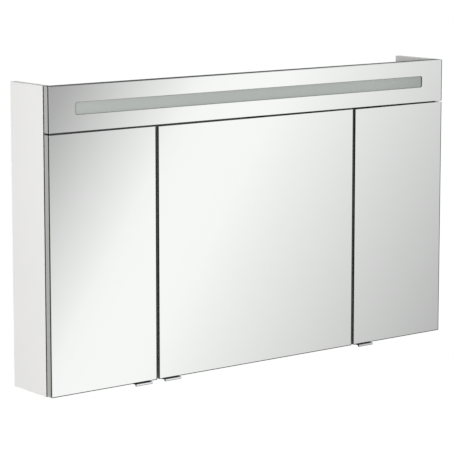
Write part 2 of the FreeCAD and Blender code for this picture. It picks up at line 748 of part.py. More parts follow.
tie(rocker, "Placement.Rotation.Angle", "rocker_tilt")
node("switch_rocker", put(rocker, (rocker_at, pivot_way, switch_mid)))

# the hinge, drawn once for a door hinged on its left edge
# x runs inward from the hinge edge, y back from the carcass front, z from the middle of the hinge
rear_pin = ("arm_pin_rear_in", "(arm_pin_rear_behind - door_gap)")
front_pin = ("arm_pin_front_in", "-(door_gap + arm_pin_front_deep)")
outer_pin = ("cup_pin_outer_in", "-(door_gap + cup_pin_outer_deep)")
inner_pin = ("cup_pin_inner_in", "-(door_gap + cup_pin_inner_deep)")
cheek_low = "(inner_link_half + layer_play)"
cheek_high = "(inner_link_half + layer_play + cheek_thick)"
outer_low = "(inner_link_half + 2 * layer_play + cheek_thick)"
outer_high = "(inner_link_half + 2 * layer_play + cheek_thick + outer_link_thick)"
lug_low = "(inner_link_half + 3 * layer_play + cheek_thick + outer_link_thick)"
lug_high = "(inner_link_half + 3 * layer_play + cheek_thick + outer_link_thick + cup_lug_thick)"


def arm(name, crank):
    body = doc.addObject("PartDesign::Body", name)
    guess = 10
    flat = next(plane for plane in body.Origin.OriginFeatures if plane.Role == "XY_Plane")

    def sketch(points, circles):
        drawn = body.newObject("Sketcher::SketchObject", "outline")
        drawn.AttachmentSupport = (flat, [""])
        drawn.MapMode = "FlatFace"
        count = len(points)
        marks = []
        for index, point in enumerate(points):
            start = FreeCAD.Vector(index, index % 3, 0)
            drawn.addGeometry(Part.LineSegment(start, FreeCAD.Vector(index + 1, (index + 1) % 3, 0)))
            marks.append((index, 1, point))
        for index in range(count):
            drawn.addConstraint(Sketcher.Constraint("Coincident", index, 2, (index + 1) % count, 1))
        for radius, point in circles:
            middle = FreeCAD.Vector(guess, guess, 0)
            index = drawn.addGeometry(Part.Circle(middle, FreeCAD.Vector(0, 0, 1), 1))
            spot = drawn.addConstraint(Sketcher.Constraint("Radius", index, 1))
            tie(drawn, "Constraints[%d]" % spot, radius)
            marks.append((index, 3, point))
        for index, corner, (x, y) in marks:
            for kind, text in (("DistanceX", x), ("DistanceY", "%s + arm_sketch_shift" % y)):
                spot = drawn.addConstraint(Sketcher.Constraint(kind, -1, 1, index, corner, guess))
                tie(drawn, "Constraints[%d]" % spot, text)
        return drawn

    def feature(kind, profile, length):
        made = body.newObject("PartDesign::" + kind, kind.lower())
        made.Profile = profile
        made.Midplane = True
        tie(made, "Length", length)
        return made

    base_low = "panel_thick + plate_high - %s" % crank
    base_top = "%s + arm_base_high" % base_low
    front_x, front_y = front_pin
    rear_x, rear_y = rear_pin
    elbow = (front_x + " - 1.9 * arm_tip", rear_y + " + 1.5 * arm_tip")
    outline = sketch([
        (front_x + " - 0.9 * arm_tip", front_y + " + 0.43 * arm_tip"),
        (front_x + " + 0.8 * arm_tip", front_y + " - 0.6 * arm_tip"),
        (rear_x + " + 0.8 * arm_tip", rear_y + " - 0.6 * arm_tip"),
        (rear_x + " + 0.7 * arm_tip", rear_y + " + 0.7 * arm_tip"),
        (base_top, "arm_base_start"),
        (base_top, "arm_base_end"),
        (base_low, "arm_base_end"),
        (base_low, "arm_base_start"),
        elbow], [])
    feature("Pad", outline, "2 * %s" % cheek_high)
    feature("Pad", sketch([], [("arm_tip", rear_pin), ("arm_tip", front_pin)]), "2 * %s" % cheek_high)
    past = "arm_base_end + arm_tip"
    beside = rear_x + " + 2 * arm_tip"
    ahead = front_y + " - 2 * arm_tip"
    web_low = "%s - arm_web" % base_top
    room = sketch([("arm_web", ahead), (beside, ahead), (beside, "arm_web_start"),
                   (web_low, "arm_web_start"), (web_low, past), ("arm_web", past)], [])
    feature("Pocket", room, "2 * %s" % cheek_low)
    eye = "hinge_pin_radius + rivet_play"
    body.Tip = feature("Pocket", sketch([], [(eye, rear_pin), (eye, front_pin)]), "4 * %s" % cheek_high)
    tie(body, "Placement.Base.y", "-arm_sketch_shift")
    return body


arm_full = arm("arm_full", "0")
arm_half = arm("arm_half", half_crank)
doc.recompute()


def plate(low):
    return joined([block((low, "plate_start", "-plate_half"),
                         (low + " + plate_high", "plate_end", "plate_half")),
                   block((low, "plate_wing_start", "-plate_wing_half"),
                         (low + " + plate_wing_thick", "plate_wing_end", "plate_wing_half"))])


plate_full = plate("panel_thick")
plate_half = plate("panel_thick - " + half_crank)
arm_pins = group([rod("z", rear_pin + ("-%s" % outer_high,), "hinge_pin_radius", "2 * %s" % outer_high),
                  rod("z", front_pin + ("-%s" % cheek_high,), "hinge_pin_radius", "2 * %s" % cheek_high)])

# outer link: two flat bars
outer_bars = []
for low, high in ((outer_low, outer_high), ("-" + outer_high, "-" + outer_low)):
    flat_bar = bar(outer_pin, rear_pin, "link_half_width", low, high)
    eyes = [rod("z", spot + (low,), "hinge_pin_radius + hinge_pin_play", "outer_link_thick")
            for spot in (outer_pin, rear_pin)]
    outer_bars.append(without(flat_bar, eyes))
outer_link = group(outer_bars)

# inner link: one thick bar with a slotted eye round the front pin of the arm
link_low = "-inner_link_half"
link_high = "inner_link_half"
link_run = "(arm_pin_front_in - cup_pin_inner_in)"
link_rise = "(cup_pin_inner_deep - arm_pin_front_deep)"
link_span = "hypot(%s; %s)" % (link_run, link_rise)
link_lean = "(atan2(%s; %s) + link_lean_more * 1 deg)" % (link_rise, link_run)


def along(reach):
    return ("%s + (%s) * cos(%s)" % (inner_pin[0], reach, link_lean),
            "%s + (%s) * sin(%s)" % (inner_pin[1], reach, link_lean))


near = along(link_span + " - link_slot_less")
far = along(link_span + " + link_slot_more")
stem = joined([bar(inner_pin, near, "link_half_width", link_low, link_high),
               bar(near, far, "link_eye_half_width", link_low, link_high)])
slot = bar(near, far, "link_slot_half_width", link_low, link_high)
eye = rod("z", inner_pin + (link_low,), "hinge_pin_radius + hinge_pin_play", "2 * inner_link_half")
inner_link = without(stem, [slot, eye])

# cup with its lugs and pins
rear = "-door_gap"
cup_bottom = "-door_gap - cup_deep"
rim = rear + " + cup_rim_thick"
ear_mid = "cup_in + cup_ear_offset"
outside = joined([rod("y", ("cup_in", cup_bottom, 0), "cup_radius", "cup_deep"),
                  rod("y", ("cup_in", rear, 0), "cup_rim_radius", "cup_rim_thick"),
                  block((ear_mid + " - cup_ear_half_wide", rear, "-cup_ear_half"),
                        (ear_mid + " + cup_ear_half_wide", rim, "cup_ear_half"))])
hollow = rod("y", ("cup_in", cup_bottom + " + cup_floor", 0), "cup_radius - cup_wall",
             "cup_deep + cup_rim_thick")
notch = block(("cup_in - cup_rim_radius", rear + " - cup_notch_deep", "-%s" % lug_low),
              ("cup_in - cup_notch_from", rim, lug_low))
pot = without(outside, [joined([hollow, notch])])
lugs = []
for spot, low, high in ((inner_pin, cheek_low, cheek_high), (outer_pin, lug_low, lug_high)):
    for start, end in ((low, high), ("-" + high, "-" + low)):
        lugs.append(rod("z", spot + (start,), "cup_lug_half", "(%s) - (%s)" % (end, start)))
        lugs.append(block((spot[0] + " - cup_lug_half", cup_bottom + " + cup_floor / 2", start),
                          (spot[0] + " + cup_lug_half", spot[1], end)))
rivets = [rod("z", inner_pin + ("-%s" % cheek_high,), "hinge_pin_radius", "2 * %s" % cheek_high),
          rod("z", outer_pin + (outer_low,), "hinge_pin_radius", "%s - %s" % (lug_high, outer_low)),
          rod("z", outer_pin + ("-%s" % lug_high,), "hinge_pin_radius", "%s - %s" % (lug_high, outer_low))]
bores = [rod("z", spot + ("-%s" % lug_high,), "hinge_pin_radius + rivet_play", "2 * %s" % lug_high)
         for spot in (inner_pin, outer_pin)]
cup = group([without(joined([pot] + lugs), bores)] + rivets)

# doors
hinge_low = "door_reveal + hinge_inset"
hinge_high = door_high + " - hinge_inset"
hinge_mid = "(door_reveal + %s) / 2" % door_high
doors = (("left", left, left + " + side_door_width", 1, (hinge_low, hinge_high), "pull_inset_left"),
         ("middle", "-%s + door_split / 2" % divider_mid, "%s - door_split / 2" % divider_mid, -1,
          (hinge_low, hinge_mid, hinge_high), "pull_inset_right"),
         ("right", right + " - side_door_width", right, -1, (hinge_low, hinge_high), "pull_inset_right"))
twins = {piece.Name: mirrored(piece) for piece in
         (arm_full, arm_half, plate_full, plate_half, arm_pins, outer_link, inner_link, cup)}
arms = []
plates = []
fixed_pins = []
bumpers = []
for label, low, high, side, levels, inset in doors:
    edge = low if side == 1 else high
    spots = [(edge, carcass_front, level) for level in levels]

    def handed(piece):
        return piece if side == 1 else twins[piece.Name]

    panel = block((low, board_front, door_low), (high, board_back, door_high))
    bores = [rod("y", ("%s + %d * cup_in" % (edge, side), board_back + " - cup_deep - cup_play", level),
                 "cup_radius + cup_play", "cup_deep + cup_play") for level in levels]
    node(label + "_door_board", without(panel, bores))
    node(label + "_door_mirror", block((low, face, door_low), (high, board_front, door_high)))
    rear_low = low + (" + rear_margin_hinge" if side == 1 else " + rear_margin_free")
    rear_high = high + (" - rear_margin_free" if side == 1 else " - rear_margin_hinge")
    node(label + "_rear_mirror", block((rear_low, board_back, door_low + " + rear_margin_ends"),
                                       (rear_high, board_back + " + rear_mirror_thick",
                                        door_high + " - rear_margin_ends")))
    pull_low = "%s - %s - pull_width" % (high, inset) if side == 1 else "%s + %s" % (low, inset)
    pull_high = pull_low + " + pull_width"
    pull_front = face + " - pull_reach"
    bend_out = "(pull_thick + pull_bend)"
    bend_way = "%s + %s" % (pull_front, bend_out)
    bend_level = "%s - %s" % (door_low, bend_out)
    quarter = without(rod("x", (pull_low, bend_way, bend_level), bend_out, "pull_width"),
                      [rod("x", (pull_low, bend_way, bend_level), "pull_bend", "pull_width")])
    corner = doc.addObject("Part::Common", "corner")
    corner.Base = quarter
    corner.Tool = block((pull_low, pull_front, bend_level), (pull_high, bend_way, door_low))
    pull_back = board_front + " + pull_tail"
    node(label + "_door_pull", joined([
        block((pull_low, bend_way, door_low + " - pull_thick"), (pull_high, pull_back, door_low)),
        corner,
        block((pull_low, pull_front, door_low + " - pull_lip"),
              (pull_high, pull_front + " + pull_thick", bend_level))]))
    node(label + "_hinge_cups", group(copies(handed(cup), spots)))
    node(label + "_outer_links", group(copies(handed(outer_link), spots)))
    node(label + "_inner_links", group(copies(handed(inner_link), spots)))
    on_divider = label == "middle"
    arms += copies(handed(arm_half if on_divider else arm_full), spots)
    plates += copies(handed(plate_half if on_divider else plate_full), spots)
    fixed_pins += copies(handed(arm_pins), spots)
    free = "%s - bumper_inset" % high if side == 1 else "%s + bumper_inset" % low
    bumper_front = board_back + " + bumper_play"
    bumpers += [rod("y", (free, bumper_front, level), "bumper_radius", "door_gap - bumper_play")
                for level in deck_mids]
node("hinge_arms", group(arms))
node("hinge_plates", group(plates))
node("hinge_arm_pins", group(fixed_pins))
node("door_bumpers", group(bumpers))

doc.recompute()
faults = [item.Label for item in doc.Objects if "Invalid" in item.State or "Error" in item.State]
for item in nodes:
    if item.Shape.isNull() or not item.Shape.isValid() or not item.Shape.Solids:
        faults.append(item.Label)
if faults:
    raise RuntimeError("not built: " + ", ".join(faults))

os.makedirs("parts", exist_ok=True)
for item in nodes:
    item.Shape.exportStep("parts/%s.step" % item.Label)
    print(item.Label, len(item.Shape.Solids), round(item.Shape.Volume))
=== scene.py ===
import bpy
import bmesh
import math
from mathutils import Matrix, Vector


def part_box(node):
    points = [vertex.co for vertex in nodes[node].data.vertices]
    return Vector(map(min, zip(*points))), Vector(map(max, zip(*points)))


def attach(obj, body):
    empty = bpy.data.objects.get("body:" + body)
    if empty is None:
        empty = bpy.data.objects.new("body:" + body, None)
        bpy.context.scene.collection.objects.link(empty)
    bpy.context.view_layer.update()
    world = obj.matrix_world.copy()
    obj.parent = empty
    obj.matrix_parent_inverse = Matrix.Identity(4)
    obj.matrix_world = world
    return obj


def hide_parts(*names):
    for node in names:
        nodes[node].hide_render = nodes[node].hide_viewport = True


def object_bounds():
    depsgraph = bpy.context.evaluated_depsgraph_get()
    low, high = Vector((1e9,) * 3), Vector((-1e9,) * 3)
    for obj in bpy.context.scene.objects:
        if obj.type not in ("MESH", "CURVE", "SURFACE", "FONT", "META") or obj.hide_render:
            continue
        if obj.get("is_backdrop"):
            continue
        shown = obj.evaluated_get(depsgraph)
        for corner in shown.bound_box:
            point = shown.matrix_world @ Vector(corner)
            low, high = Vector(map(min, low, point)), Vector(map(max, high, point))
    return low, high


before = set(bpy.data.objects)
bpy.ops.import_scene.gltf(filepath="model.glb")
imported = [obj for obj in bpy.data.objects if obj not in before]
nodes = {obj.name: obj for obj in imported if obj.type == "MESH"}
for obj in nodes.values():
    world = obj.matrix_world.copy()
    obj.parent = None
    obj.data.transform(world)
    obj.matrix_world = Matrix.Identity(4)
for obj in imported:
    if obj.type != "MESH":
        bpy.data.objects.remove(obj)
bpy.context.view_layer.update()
scene = bpy.context.scene
doors = ("left", "middle", "right")
print("frame loaded:", len(nodes), "nodes")


# helpers for colours and shader nodes
def linear(hexText):
    parts = [int(hexText[i:i + 2], 16) / 255 for i in (1, 3, 5)]
    return tuple(c / 12.92 if c <= 0.04045 else ((c + 0.055) / 1.055) ** 2.4 for c in parts) + (1.0,)


def grey(level):
    return (level, level, level, 1.0)


def perMetre(millimetres):
    return 1000.0 / millimetres  # the scale that draws a pattern of this size


def plug(tree, node, inputs):
    for key, value in inputs.items():
        if isinstance(value, bpy.types.NodeSocket):
            tree.links.new(value, node.inputs[key])
        else:
            node.inputs[key].default_value = value


def addNode(tree, kind, inputs=None, stops=(), **settings):
    node = tree.nodes.new(kind)
    for key, value in settings.items():
        setattr(node, key, value)
    plug(tree, node, inputs or {})
    if stops:  # places and colours of a ramp
        elements = node.color_ramp.elements
        elements.remove(elements[1])
        elements[0].position, elements[0].color = stops[0]
        for place, colour in stops[1:]:
            elements.new(place).color = colour
    return node


def startMaterial(name):
    mat = bpy.data.materials.new(name)
    mat.use_nodes = True
    tree = mat.node_tree
    coords = addNode(tree, "ShaderNodeTexCoord")
    return mat, tree, tree.nodes["Principled BSDF"], coords.outputs["Object"]  # places in metres


# materials
mostly = 0.5  # a surface looks to the front or the back when its normal has more than this share that way


def makeMelamine():
    # melamine-faced chipboard, pressed with a fine pearl: clean white, soft shine; the front edges are dark
    # grey as painted shade, standing in for the shadow in the gaps behind the fronts
    mat, tree, shader, where = startMaterial("melamineWhite")
    # the pearl is 0.6 mm, drawn coarser to show
    pearl = addNode(tree, "ShaderNodeTexNoise", {"Vector": where, "Scale": perMetre(2.5), "Detail": 3.0})
    cloud = addNode(tree, "ShaderNodeTexNoise", {"Vector": where, "Scale": perMetre(180), "Detail": 2.0})
    white = addNode(tree, "ShaderNodeMix", {
        "Factor": cloud.outputs["Fac"], "A": linear("#e3e3e2"), "B": linear("#e7e6e5")}, data_type="RGBA")
    coords = addNode(tree, "ShaderNodeTexCoord")
    side = addNode(tree, "ShaderNodeSeparateXYZ", {"Vector": coords.outputs["Normal"]})
    # painted shade: faces that look to the front take the dark grey, for the shadowed gaps behind doors and
    # header
    front = addNode(tree, "ShaderNodeMath", {0: side.outputs["Y"], 1: -mostly}, operation="LESS_THAN")
    tone = addNode(tree, "ShaderNodeMix", {
        "Factor": front.outputs["Value"], "A": white.outputs["Result"],
        "B": linear("#565756")}, data_type="RGBA")
    shine = addNode(tree, "ShaderNodeMapRange", {
        "Value": pearl.outputs["Fac"], "To Min": 0.36, "To Max": 0.48})
    bump = addNode(tree, "ShaderNodeBump", {
        "Height": pearl.outputs["Fac"], "Strength": 0.08, "Distance": 0.0003})
    plug(tree, shader, {"Base Color": tone.outputs["Result"], "Roughness": shine.outputs["Result"],
                        "Normal": bump.outputs["Normal"], "IOR": 1.5})
    return mat


def makeHardboard():
    # thin hardboard, white foil towards the cabinet and bare pressed fibre towards the wall
    mat, tree, shader, where = startMaterial("hardboardFoiled")
    coords = addNode(tree, "ShaderNodeTexCoord")
    side = addNode(tree, "ShaderNodeSeparateXYZ", {"Vector": coords.outputs["Normal"]})
    rear = addNode(tree, "ShaderNodeMath", {0: side.outputs["Y"], 1: mostly}, operation="GREATER_THAN")
    fibre = addNode(tree, "ShaderNodeTexNoise", {
        "Vector": where, "Scale": perMetre(6), "Detail": 8.0, "Roughness": 0.7})
    fleck = addNode(tree, "ShaderNodeTexNoise", {"Vector": where, "Scale": perMetre(55), "Detail": 3.0})
    raw = addNode(tree, "ShaderNodeValToRGB", {"Fac": fibre.outputs["Fac"]}, stops=[
        (0.3, linear("#7d6044")), (0.5, linear("#937353")), (0.72, linear("#a88865"))])
    worn = addNode(tree, "ShaderNodeMix", {
        "Factor": fleck.outputs["Fac"], "A": raw.outputs["Color"],
        "B": linear("#8d6f51")}, data_type="RGBA")
    tone = addNode(tree, "ShaderNodeMix", {
        "Factor": rear.outputs["Value"], "A": linear("#e6e6e4"),
        "B": worn.outputs["Result"]}, data_type="RGBA")
    shine = addNode(tree, "ShaderNodeMapRange", {
        "Value": rear.outputs["Value"], "To Min": 0.42, "To Max": 0.72})
    bump = addNode(tree, "ShaderNodeBump", {
        "Height": fibre.outputs["Fac"], "Strength": 0.12, "Distance": 0.0004})
    plug(tree, shader, {"Base Color": tone.outputs["Result"], "Roughness": shine.outputs["Result"],
                        "Normal": bump.outputs["Normal"]})
    return mat


greyBoard = {"header": "#a8a9a7", "door": "#a4a5a1",
             "shadedEdges": "#282929", "shadeFacing": 0.7,  # painted shade on the top and bottom edges
             "seamAndShade": "#1b1c1c", "seamAndShadeWidth": 0.0013}  # adhesive between board and mirror, drawn wider and darker than a real seam as painted shade for the joint, metres


def makeGreyBoard(name, hexText, board):
    # board edged in grey PVC, with painted shade: darker on the top and bottom edges, for the shade in the
    # gaps and on the unlit top; calendered, so the shine runs in faint streaks
    # a dark line of adhesive shows beside the glass, drawn wide and dark as painted shade for the joint too
    mat, tree, shader, where = startMaterial(name)
    coords = addNode(tree, "ShaderNodeTexCoord")
    side = addNode(tree, "ShaderNodeSeparateXYZ", {"Vector": coords.outputs["Normal"]})
    level = addNode(tree, "ShaderNodeMath", {0: side.outputs["Z"]}, operation="ABSOLUTE")
    # painted shade: edges that look up or down take the dark grey
    ends = addNode(tree, "ShaderNodeMath", {
        0: level.outputs["Value"], 1: greyBoard["shadeFacing"]}, operation="GREATER_THAN")
    shadedEdges = addNode(tree, "ShaderNodeMix", {
        "Factor": ends.outputs["Value"], "A": linear(hexText),
        "B": linear(greyBoard["shadedEdges"])}, data_type="RGBA")
    stretch = addNode(tree, "ShaderNodeMapping", {
        "Vector": where, "Scale": (perMetre(3), perMetre(3), perMetre(90))})
    streak = addNode(tree, "ShaderNodeTexNoise", {
        "Vector": stretch.outputs["Vector"], "Scale": 1.0, "Detail": 4.0})
    fade = addNode(tree, "ShaderNodeMapRange", {
        "Value": streak.outputs["Fac"], "To Min": 0.94, "To Max": 1.06})
    lift = addNode(tree, "ShaderNodeHueSaturation", {
        "Color": shadedEdges.outputs["Result"], "Value": fade.outputs["Result"]})
    place = addNode(tree, "ShaderNodeSeparateXYZ", {"Vector": where})
    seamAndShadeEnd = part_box(board)[0].y + greyBoard["seamAndShadeWidth"]
    # painted shade: the strip of board face just behind the glass is drawn near black, a seam of adhesive
    # and the joint's shade together
    seamAndShadeMask = addNode(tree, "ShaderNodeMath", {0: place.outputs["Y"], 1: seamAndShadeEnd}, operation="LESS_THAN")
    tone = addNode(tree, "ShaderNodeMix", {
        "Factor": seamAndShadeMask.outputs["Value"], "A": lift.outputs["Color"],
        "B": linear(greyBoard["seamAndShade"])}, data_type="RGBA")
    shine = addNode(tree, "ShaderNodeMapRange", {
        "Value": streak.outputs["Fac"], "To Min": 0.3, "To Max": 0.46})
    bump = addNode(tree, "ShaderNodeBump", {
        "Height": streak.outputs["Fac"], "Strength": 0.06, "Distance": 0.0002})
    plug(tree, shader, {"Base Color": tone.outputs["Result"], "Roughness": shine.outputs["Result"],
                        "Normal": bump.outputs["Normal"]})
    return mat


def makeMirror():
    # float glass silvered on its back: a near perfect reflector, with the faint haze of wiping
    mat, tree, shader, where = startMaterial("silveredGlass")
    wipe = addNode(tree, "ShaderNodeTexNoise", {
        "Vector": where, "Scale": perMetre(70), "Detail": 5.0, "Distortion": 1.2})
    haze = addNode(tree, "ShaderNodeMapRange", {
        "Value": wipe.outputs["Fac"], "From Min": 0.45, "From Max": 0.75, "To Min": 0.004, "To Max": 0.02})
    tint = addNode(tree, "ShaderNodeMix", {
        "Factor": wipe.outputs["Fac"], "A": linear("#f6f8f6"), "B": linear("#f8f9f8")}, data_type="RGBA")
    plug(tree, shader, {"Base Color": tint.outputs["Result"], "Metallic": 1.0,
                        "Roughness": haze.outputs["Result"]})
    return mat


def makeGlassEdge():
    # the ground edge of mirror glass: light is lost inside, so it looks dark and greenish grey
    mat, tree, shader, where = startMaterial("groundGlassEdge")
    grind = addNode(tree, "ShaderNodeTexNoise", {"Vector": where, "Scale": perMetre(2), "Detail": 4.0})
    tone = addNode(tree, "ShaderNodeMix", {
        "Factor": grind.outputs["Fac"], "A": linear("#0c0f0d"), "B": linear("#171b19")}, data_type="RGBA")
    shine = addNode(tree, "ShaderNodeMapRange", {
        "Value": grind.outputs["Fac"], "To Min": 0.3, "To Max": 0.44})
    plug(tree, shader, {"Base Color": tone.outputs["Result"], "Roughness": shine.outputs["Result"],
                        "IOR": 1.52, "Specular IOR Level": 0.12})
    return mat


def makeArris():
    # the polished arris round a mirror: silver seen through a tilted facet, a little greener than the face
    mat, tree, shader, where = startMaterial("polishedArris")
    wave = addNode(tree, "ShaderNodeTexNoise", {"Vector": where, "Scale": perMetre(9), "Detail": 2.0})
    tint = addNode(tree, "ShaderNodeMix", {
        "Factor": wave.outputs["Fac"], "A": linear("#eaefec"), "B": linear("#f4f7f5")}, data_type="RGBA")
    plug(tree, shader, {"Base Color": tint.outputs["Result"], "Metallic": 1.0, "Roughness": 0.08})
    return mat


def makeBackPaint():
    # the protective paint on the back of a mirror: dull blue grey with roller marks
    mat, tree, shader, where = startMaterial("mirrorBackPaint")
    roll = addNode(tree, "ShaderNodeTexNoise", {"Vector": where, "Scale": perMetre(5), "Detail": 6.0})
    tone = addNode(tree, "ShaderNodeMix", {
        "Factor": roll.outputs["Fac"], "A": linear("#5f666b"), "B": linear("#727a80")}, data_type="RGBA")
    plug(tree, shader, {"Base Color": tone.outputs["Result"], "Roughness": 0.6})
    return mat


def makeShelfGlass():
    # clear float glass with polished edges: the iron in the glass gives a green cast, deep at the edges
    mat, tree, shader, where = startMaterial("floatGlassClear")
    touch = addNode(tree, "ShaderNodeTexNoise", {"Vector": where, "Scale": perMetre(40), "Detail": 4.0})
    haze = addNode(tree, "ShaderNodeMapRange", {
        "Value": touch.outputs["Fac"], "From Min": 0.5, "From Max": 0.8, "To Min": 0.0, "To Max": 0.03})
    coords = addNode(tree, "ShaderNodeTexCoord")
    side = addNode(tree, "ShaderNodeSeparateXYZ", {"Vector": coords.outputs["Normal"]})
    flat = addNode(tree, "ShaderNodeMath", {0: side.outputs["Z"]}, operation="ABSOLUTE")
    tone = addNode(tree, "ShaderNodeMix", {
        "Factor": flat.outputs["Value"], "A": linear("#8fc4ae"), "B": linear("#eaf6f0")}, data_type="RGBA")
    plug(tree, shader, {"Base Color": tone.outputs["Result"], "Roughness": haze.outputs["Result"],
                        "IOR": 1.52, "Transmission Weight": 1.0})
    return mat


strip = {"fadeFrom": 0.36, "fadeTo": 0.54,  # painted shade runs between these, metres to the right of the cabinet's middle
         "tones": [(0.0, "#b7bcb9"), (0.5, "#b1b6b3"), (0.92, "#a9aeac"), (1.0, "#8d9390")]}


def makeOpal():
    # opal acrylic, satin on the front: unlit it is a flat, faintly green grey, with painted shade that
    # darkens it towards its right end, for the shade in the recess
    mat, tree, shader, where = startMaterial("opalAcrylicSatin")
    # the satin grain is finer on the real one, drawn coarser to show
    blast = addNode(tree, "ShaderNodeTexNoise", {"Vector": where, "Scale": perMetre(1.8), "Detail": 3.0})
    place = addNode(tree, "ShaderNodeSeparateXYZ", {"Vector": where})
    # painted shade: the grey darkens towards the right end
    reach = addNode(tree, "ShaderNodeMapRange", {
        "Value": place.outputs["X"], "From Min": strip["fadeFrom"], "From Max": strip["fadeTo"]})
    body = addNode(tree, "ShaderNodeValToRGB", {"Fac": reach.outputs["Result"]}, stops=[
        (share, linear(hexText)) for share, hexText in strip["tones"]])
    fade = addNode(tree, "ShaderNodeMapRange", {
        "Value": blast.outputs["Fac"], "To Min": 0.97, "To Max": 1.03})
    tone = addNode(tree, "ShaderNodeHueSaturation", {
        "Color": body.outputs["Color"], "Value": fade.outputs["Result"]})
    bump = addNode(tree, "ShaderNodeBump", {
        "Height": blast.outputs["Fac"], "Strength": 0.1, "Distance": 0.0002})
    plug(tree, shader, {"Base Color": tone.outputs["Color"], "Roughness": 0.5, "IOR": 1.49,
                        "Normal": bump.outputs["Normal"]})
    return mat


def makeBrushed(name, hexText, rough, along, depth):
    # metal drawn or brushed in one direction: fine lines that stretch the highlights
    mat, tree, shader, where = startMaterial(name)
    scale = [perMetre(0.8)] * 3  # lines of 0.3 mm, drawn wider to show
    scale["xyz".index(along)] = perMetre(45)
    stretch = addNode(tree, "ShaderNodeMapping", {"Vector": where, "Scale": scale})
    lines = addNode(tree, "ShaderNodeTexNoise", {
        "Vector": stretch.outputs["Vector"], "Scale": 1.0, "Detail": 3.0})
    fade = addNode(tree, "ShaderNodeMapRange", {
        "Value": lines.outputs["Fac"], "To Min": 0.93, "To Max": 1.05})
    tone = addNode(tree, "ShaderNodeHueSaturation", {
        "Color": linear(hexText), "Value": fade.outputs["Result"]})
    shine = addNode(tree, "ShaderNodeMapRange", {
        "Value": lines.outputs["Fac"], "To Min": rough - 0.06, "To Max": rough + 0.08})
    bump = addNode(tree, "ShaderNodeBump", {
        "Height": lines.outputs["Fac"], "Strength": depth, "Distance": 0.0001})
    plug(tree, shader, {"Base Color": tone.outputs["Color"], "Metallic": 1.0,
                        "Roughness": shine.outputs["Result"], "Normal": bump.outputs["Normal"]})
    return mat


def makeZinc():
    # zinc-plated steel: bluish, with soft patches where the crystals of the plating lie differently
    mat, tree, shader, where = startMaterial("zincPlatedSteel")
    patch = addNode(tree, "ShaderNodeTexVoronoi", {"Vector": where, "Scale": perMetre(4)})
    tone = addNode(tree, "ShaderNodeMix", {
        "Factor": patch.outputs["Distance"], "A": linear("#c3c9cd"),
        "B": linear("#a9b0b6")}, data_type="RGBA")
    shine = addNode(tree, "ShaderNodeMapRange", {
        "Value": patch.outputs["Distance"], "To Min": 0.24, "To Max": 0.42})
    plug(tree, shader, {"Base Color": tone.outputs["Result"], "Metallic": 1.0,
                        "Roughness": shine.outputs["Result"]})
    return mat


def makeChrome():
    # polished chrome plate: sharp, slightly cool reflections with the odd dull touch
    mat, tree, shader, where = startMaterial("chromePlate")
    touch = addNode(tree, "ShaderNodeTexNoise", {"Vector": where, "Scale": perMetre(12), "Detail": 3.0})
    shine = addNode(tree, "ShaderNodeMapRange", {
        "Value": touch.outputs["Fac"], "From Min": 0.45, "From Max": 0.8, "To Min": 0.03, "To Max": 0.1})
    plug(tree, shader, {"Base Color": linear("#eaedee"), "Metallic": 1.0,
                        "Roughness": shine.outputs["Result"]})
    return mat


def makePullShade():
    # painted shade: nearly black metal with a soft satin gleam, standing in for the shade on the tops, ends
    # and lip rims of the pulls
    mat, tree, shader, where = startMaterial("pullShadeBlack")
    grain = addNode(tree, "ShaderNodeTexNoise", {"Vector": where, "Scale": perMetre(1), "Detail": 3.0})
    tone = addNode(tree, "ShaderNodeMix", {
        "Factor": grain.outputs["Fac"], "A": linear("#1d1e1f"), "B": linear("#2b2c2e")}, data_type="RGBA")
    plug(tree, shader, {"Base Color": tone.outputs["Result"], "Metallic": 1.0, "Roughness": 0.3})
    return mat


def makeMoulded(name, hexText, rough):
    # moulded plastic with a spark-eroded grain: even colour, tiny pits that soften the shine
    # the sheaths, and the lacquer and resin of the light board, are drawn the same way
    mat, tree, shader, where = startMaterial(name)
    # the grain is 0.2 mm, drawn coarser to show
    pits = addNode(tree, "ShaderNodeTexNoise", {"Vector": where, "Scale": perMetre(1.2), "Detail": 4.0})
    flow = addNode(tree, "ShaderNodeTexNoise", {"Vector": where, "Scale": perMetre(60), "Detail": 2.0})
    fade = addNode(tree, "ShaderNodeMapRange", {
        "Value": flow.outputs["Fac"], "To Min": 0.96, "To Max": 1.03})
    tone = addNode(tree, "ShaderNodeHueSaturation", {
        "Color": linear(hexText), "Value": fade.outputs["Result"]})
    shine = addNode(tree, "ShaderNodeMapRange", {
        "Value": pits.outputs["Fac"], "To Min": rough - 0.06, "To Max": rough + 0.08})
    bump = addNode(tree, "ShaderNodeBump", {
        "Height": pits.outputs["Fac"], "Strength": 0.15, "Distance": 0.0002})
    plug(tree, shader, {"Base Color": tone.outputs["Color"], "Roughness": shine.outputs["Result"],
                        "Normal": bump.outputs["Normal"], "IOR": 1.5})
    return mat


def makeBeech():
    # plain beech dowel: pale pinkish brown with short dark flecks along the grain
    mat, tree, shader, where = startMaterial("beechPlain")
    stretch = addNode(tree, "ShaderNodeMapping", {
        "Vector": where, "Scale": (perMetre(8), perMetre(1.5), perMetre(1.5))})
    fleck = addNode(tree, "ShaderNodeTexNoise", {
        "Vector": stretch.outputs["Vector"], "Scale": 1.0, "Detail": 5.0})
    tone = addNode(tree, "ShaderNodeMix", {
        "Factor": fleck.outputs["Fac"], "A": linear("#b98e63"), "B": linear("#d9b58a")}, data_type="RGBA")
    plug(tree, shader, {"Base Color": tone.outputs["Result"], "Roughness": 0.6})
    return mat


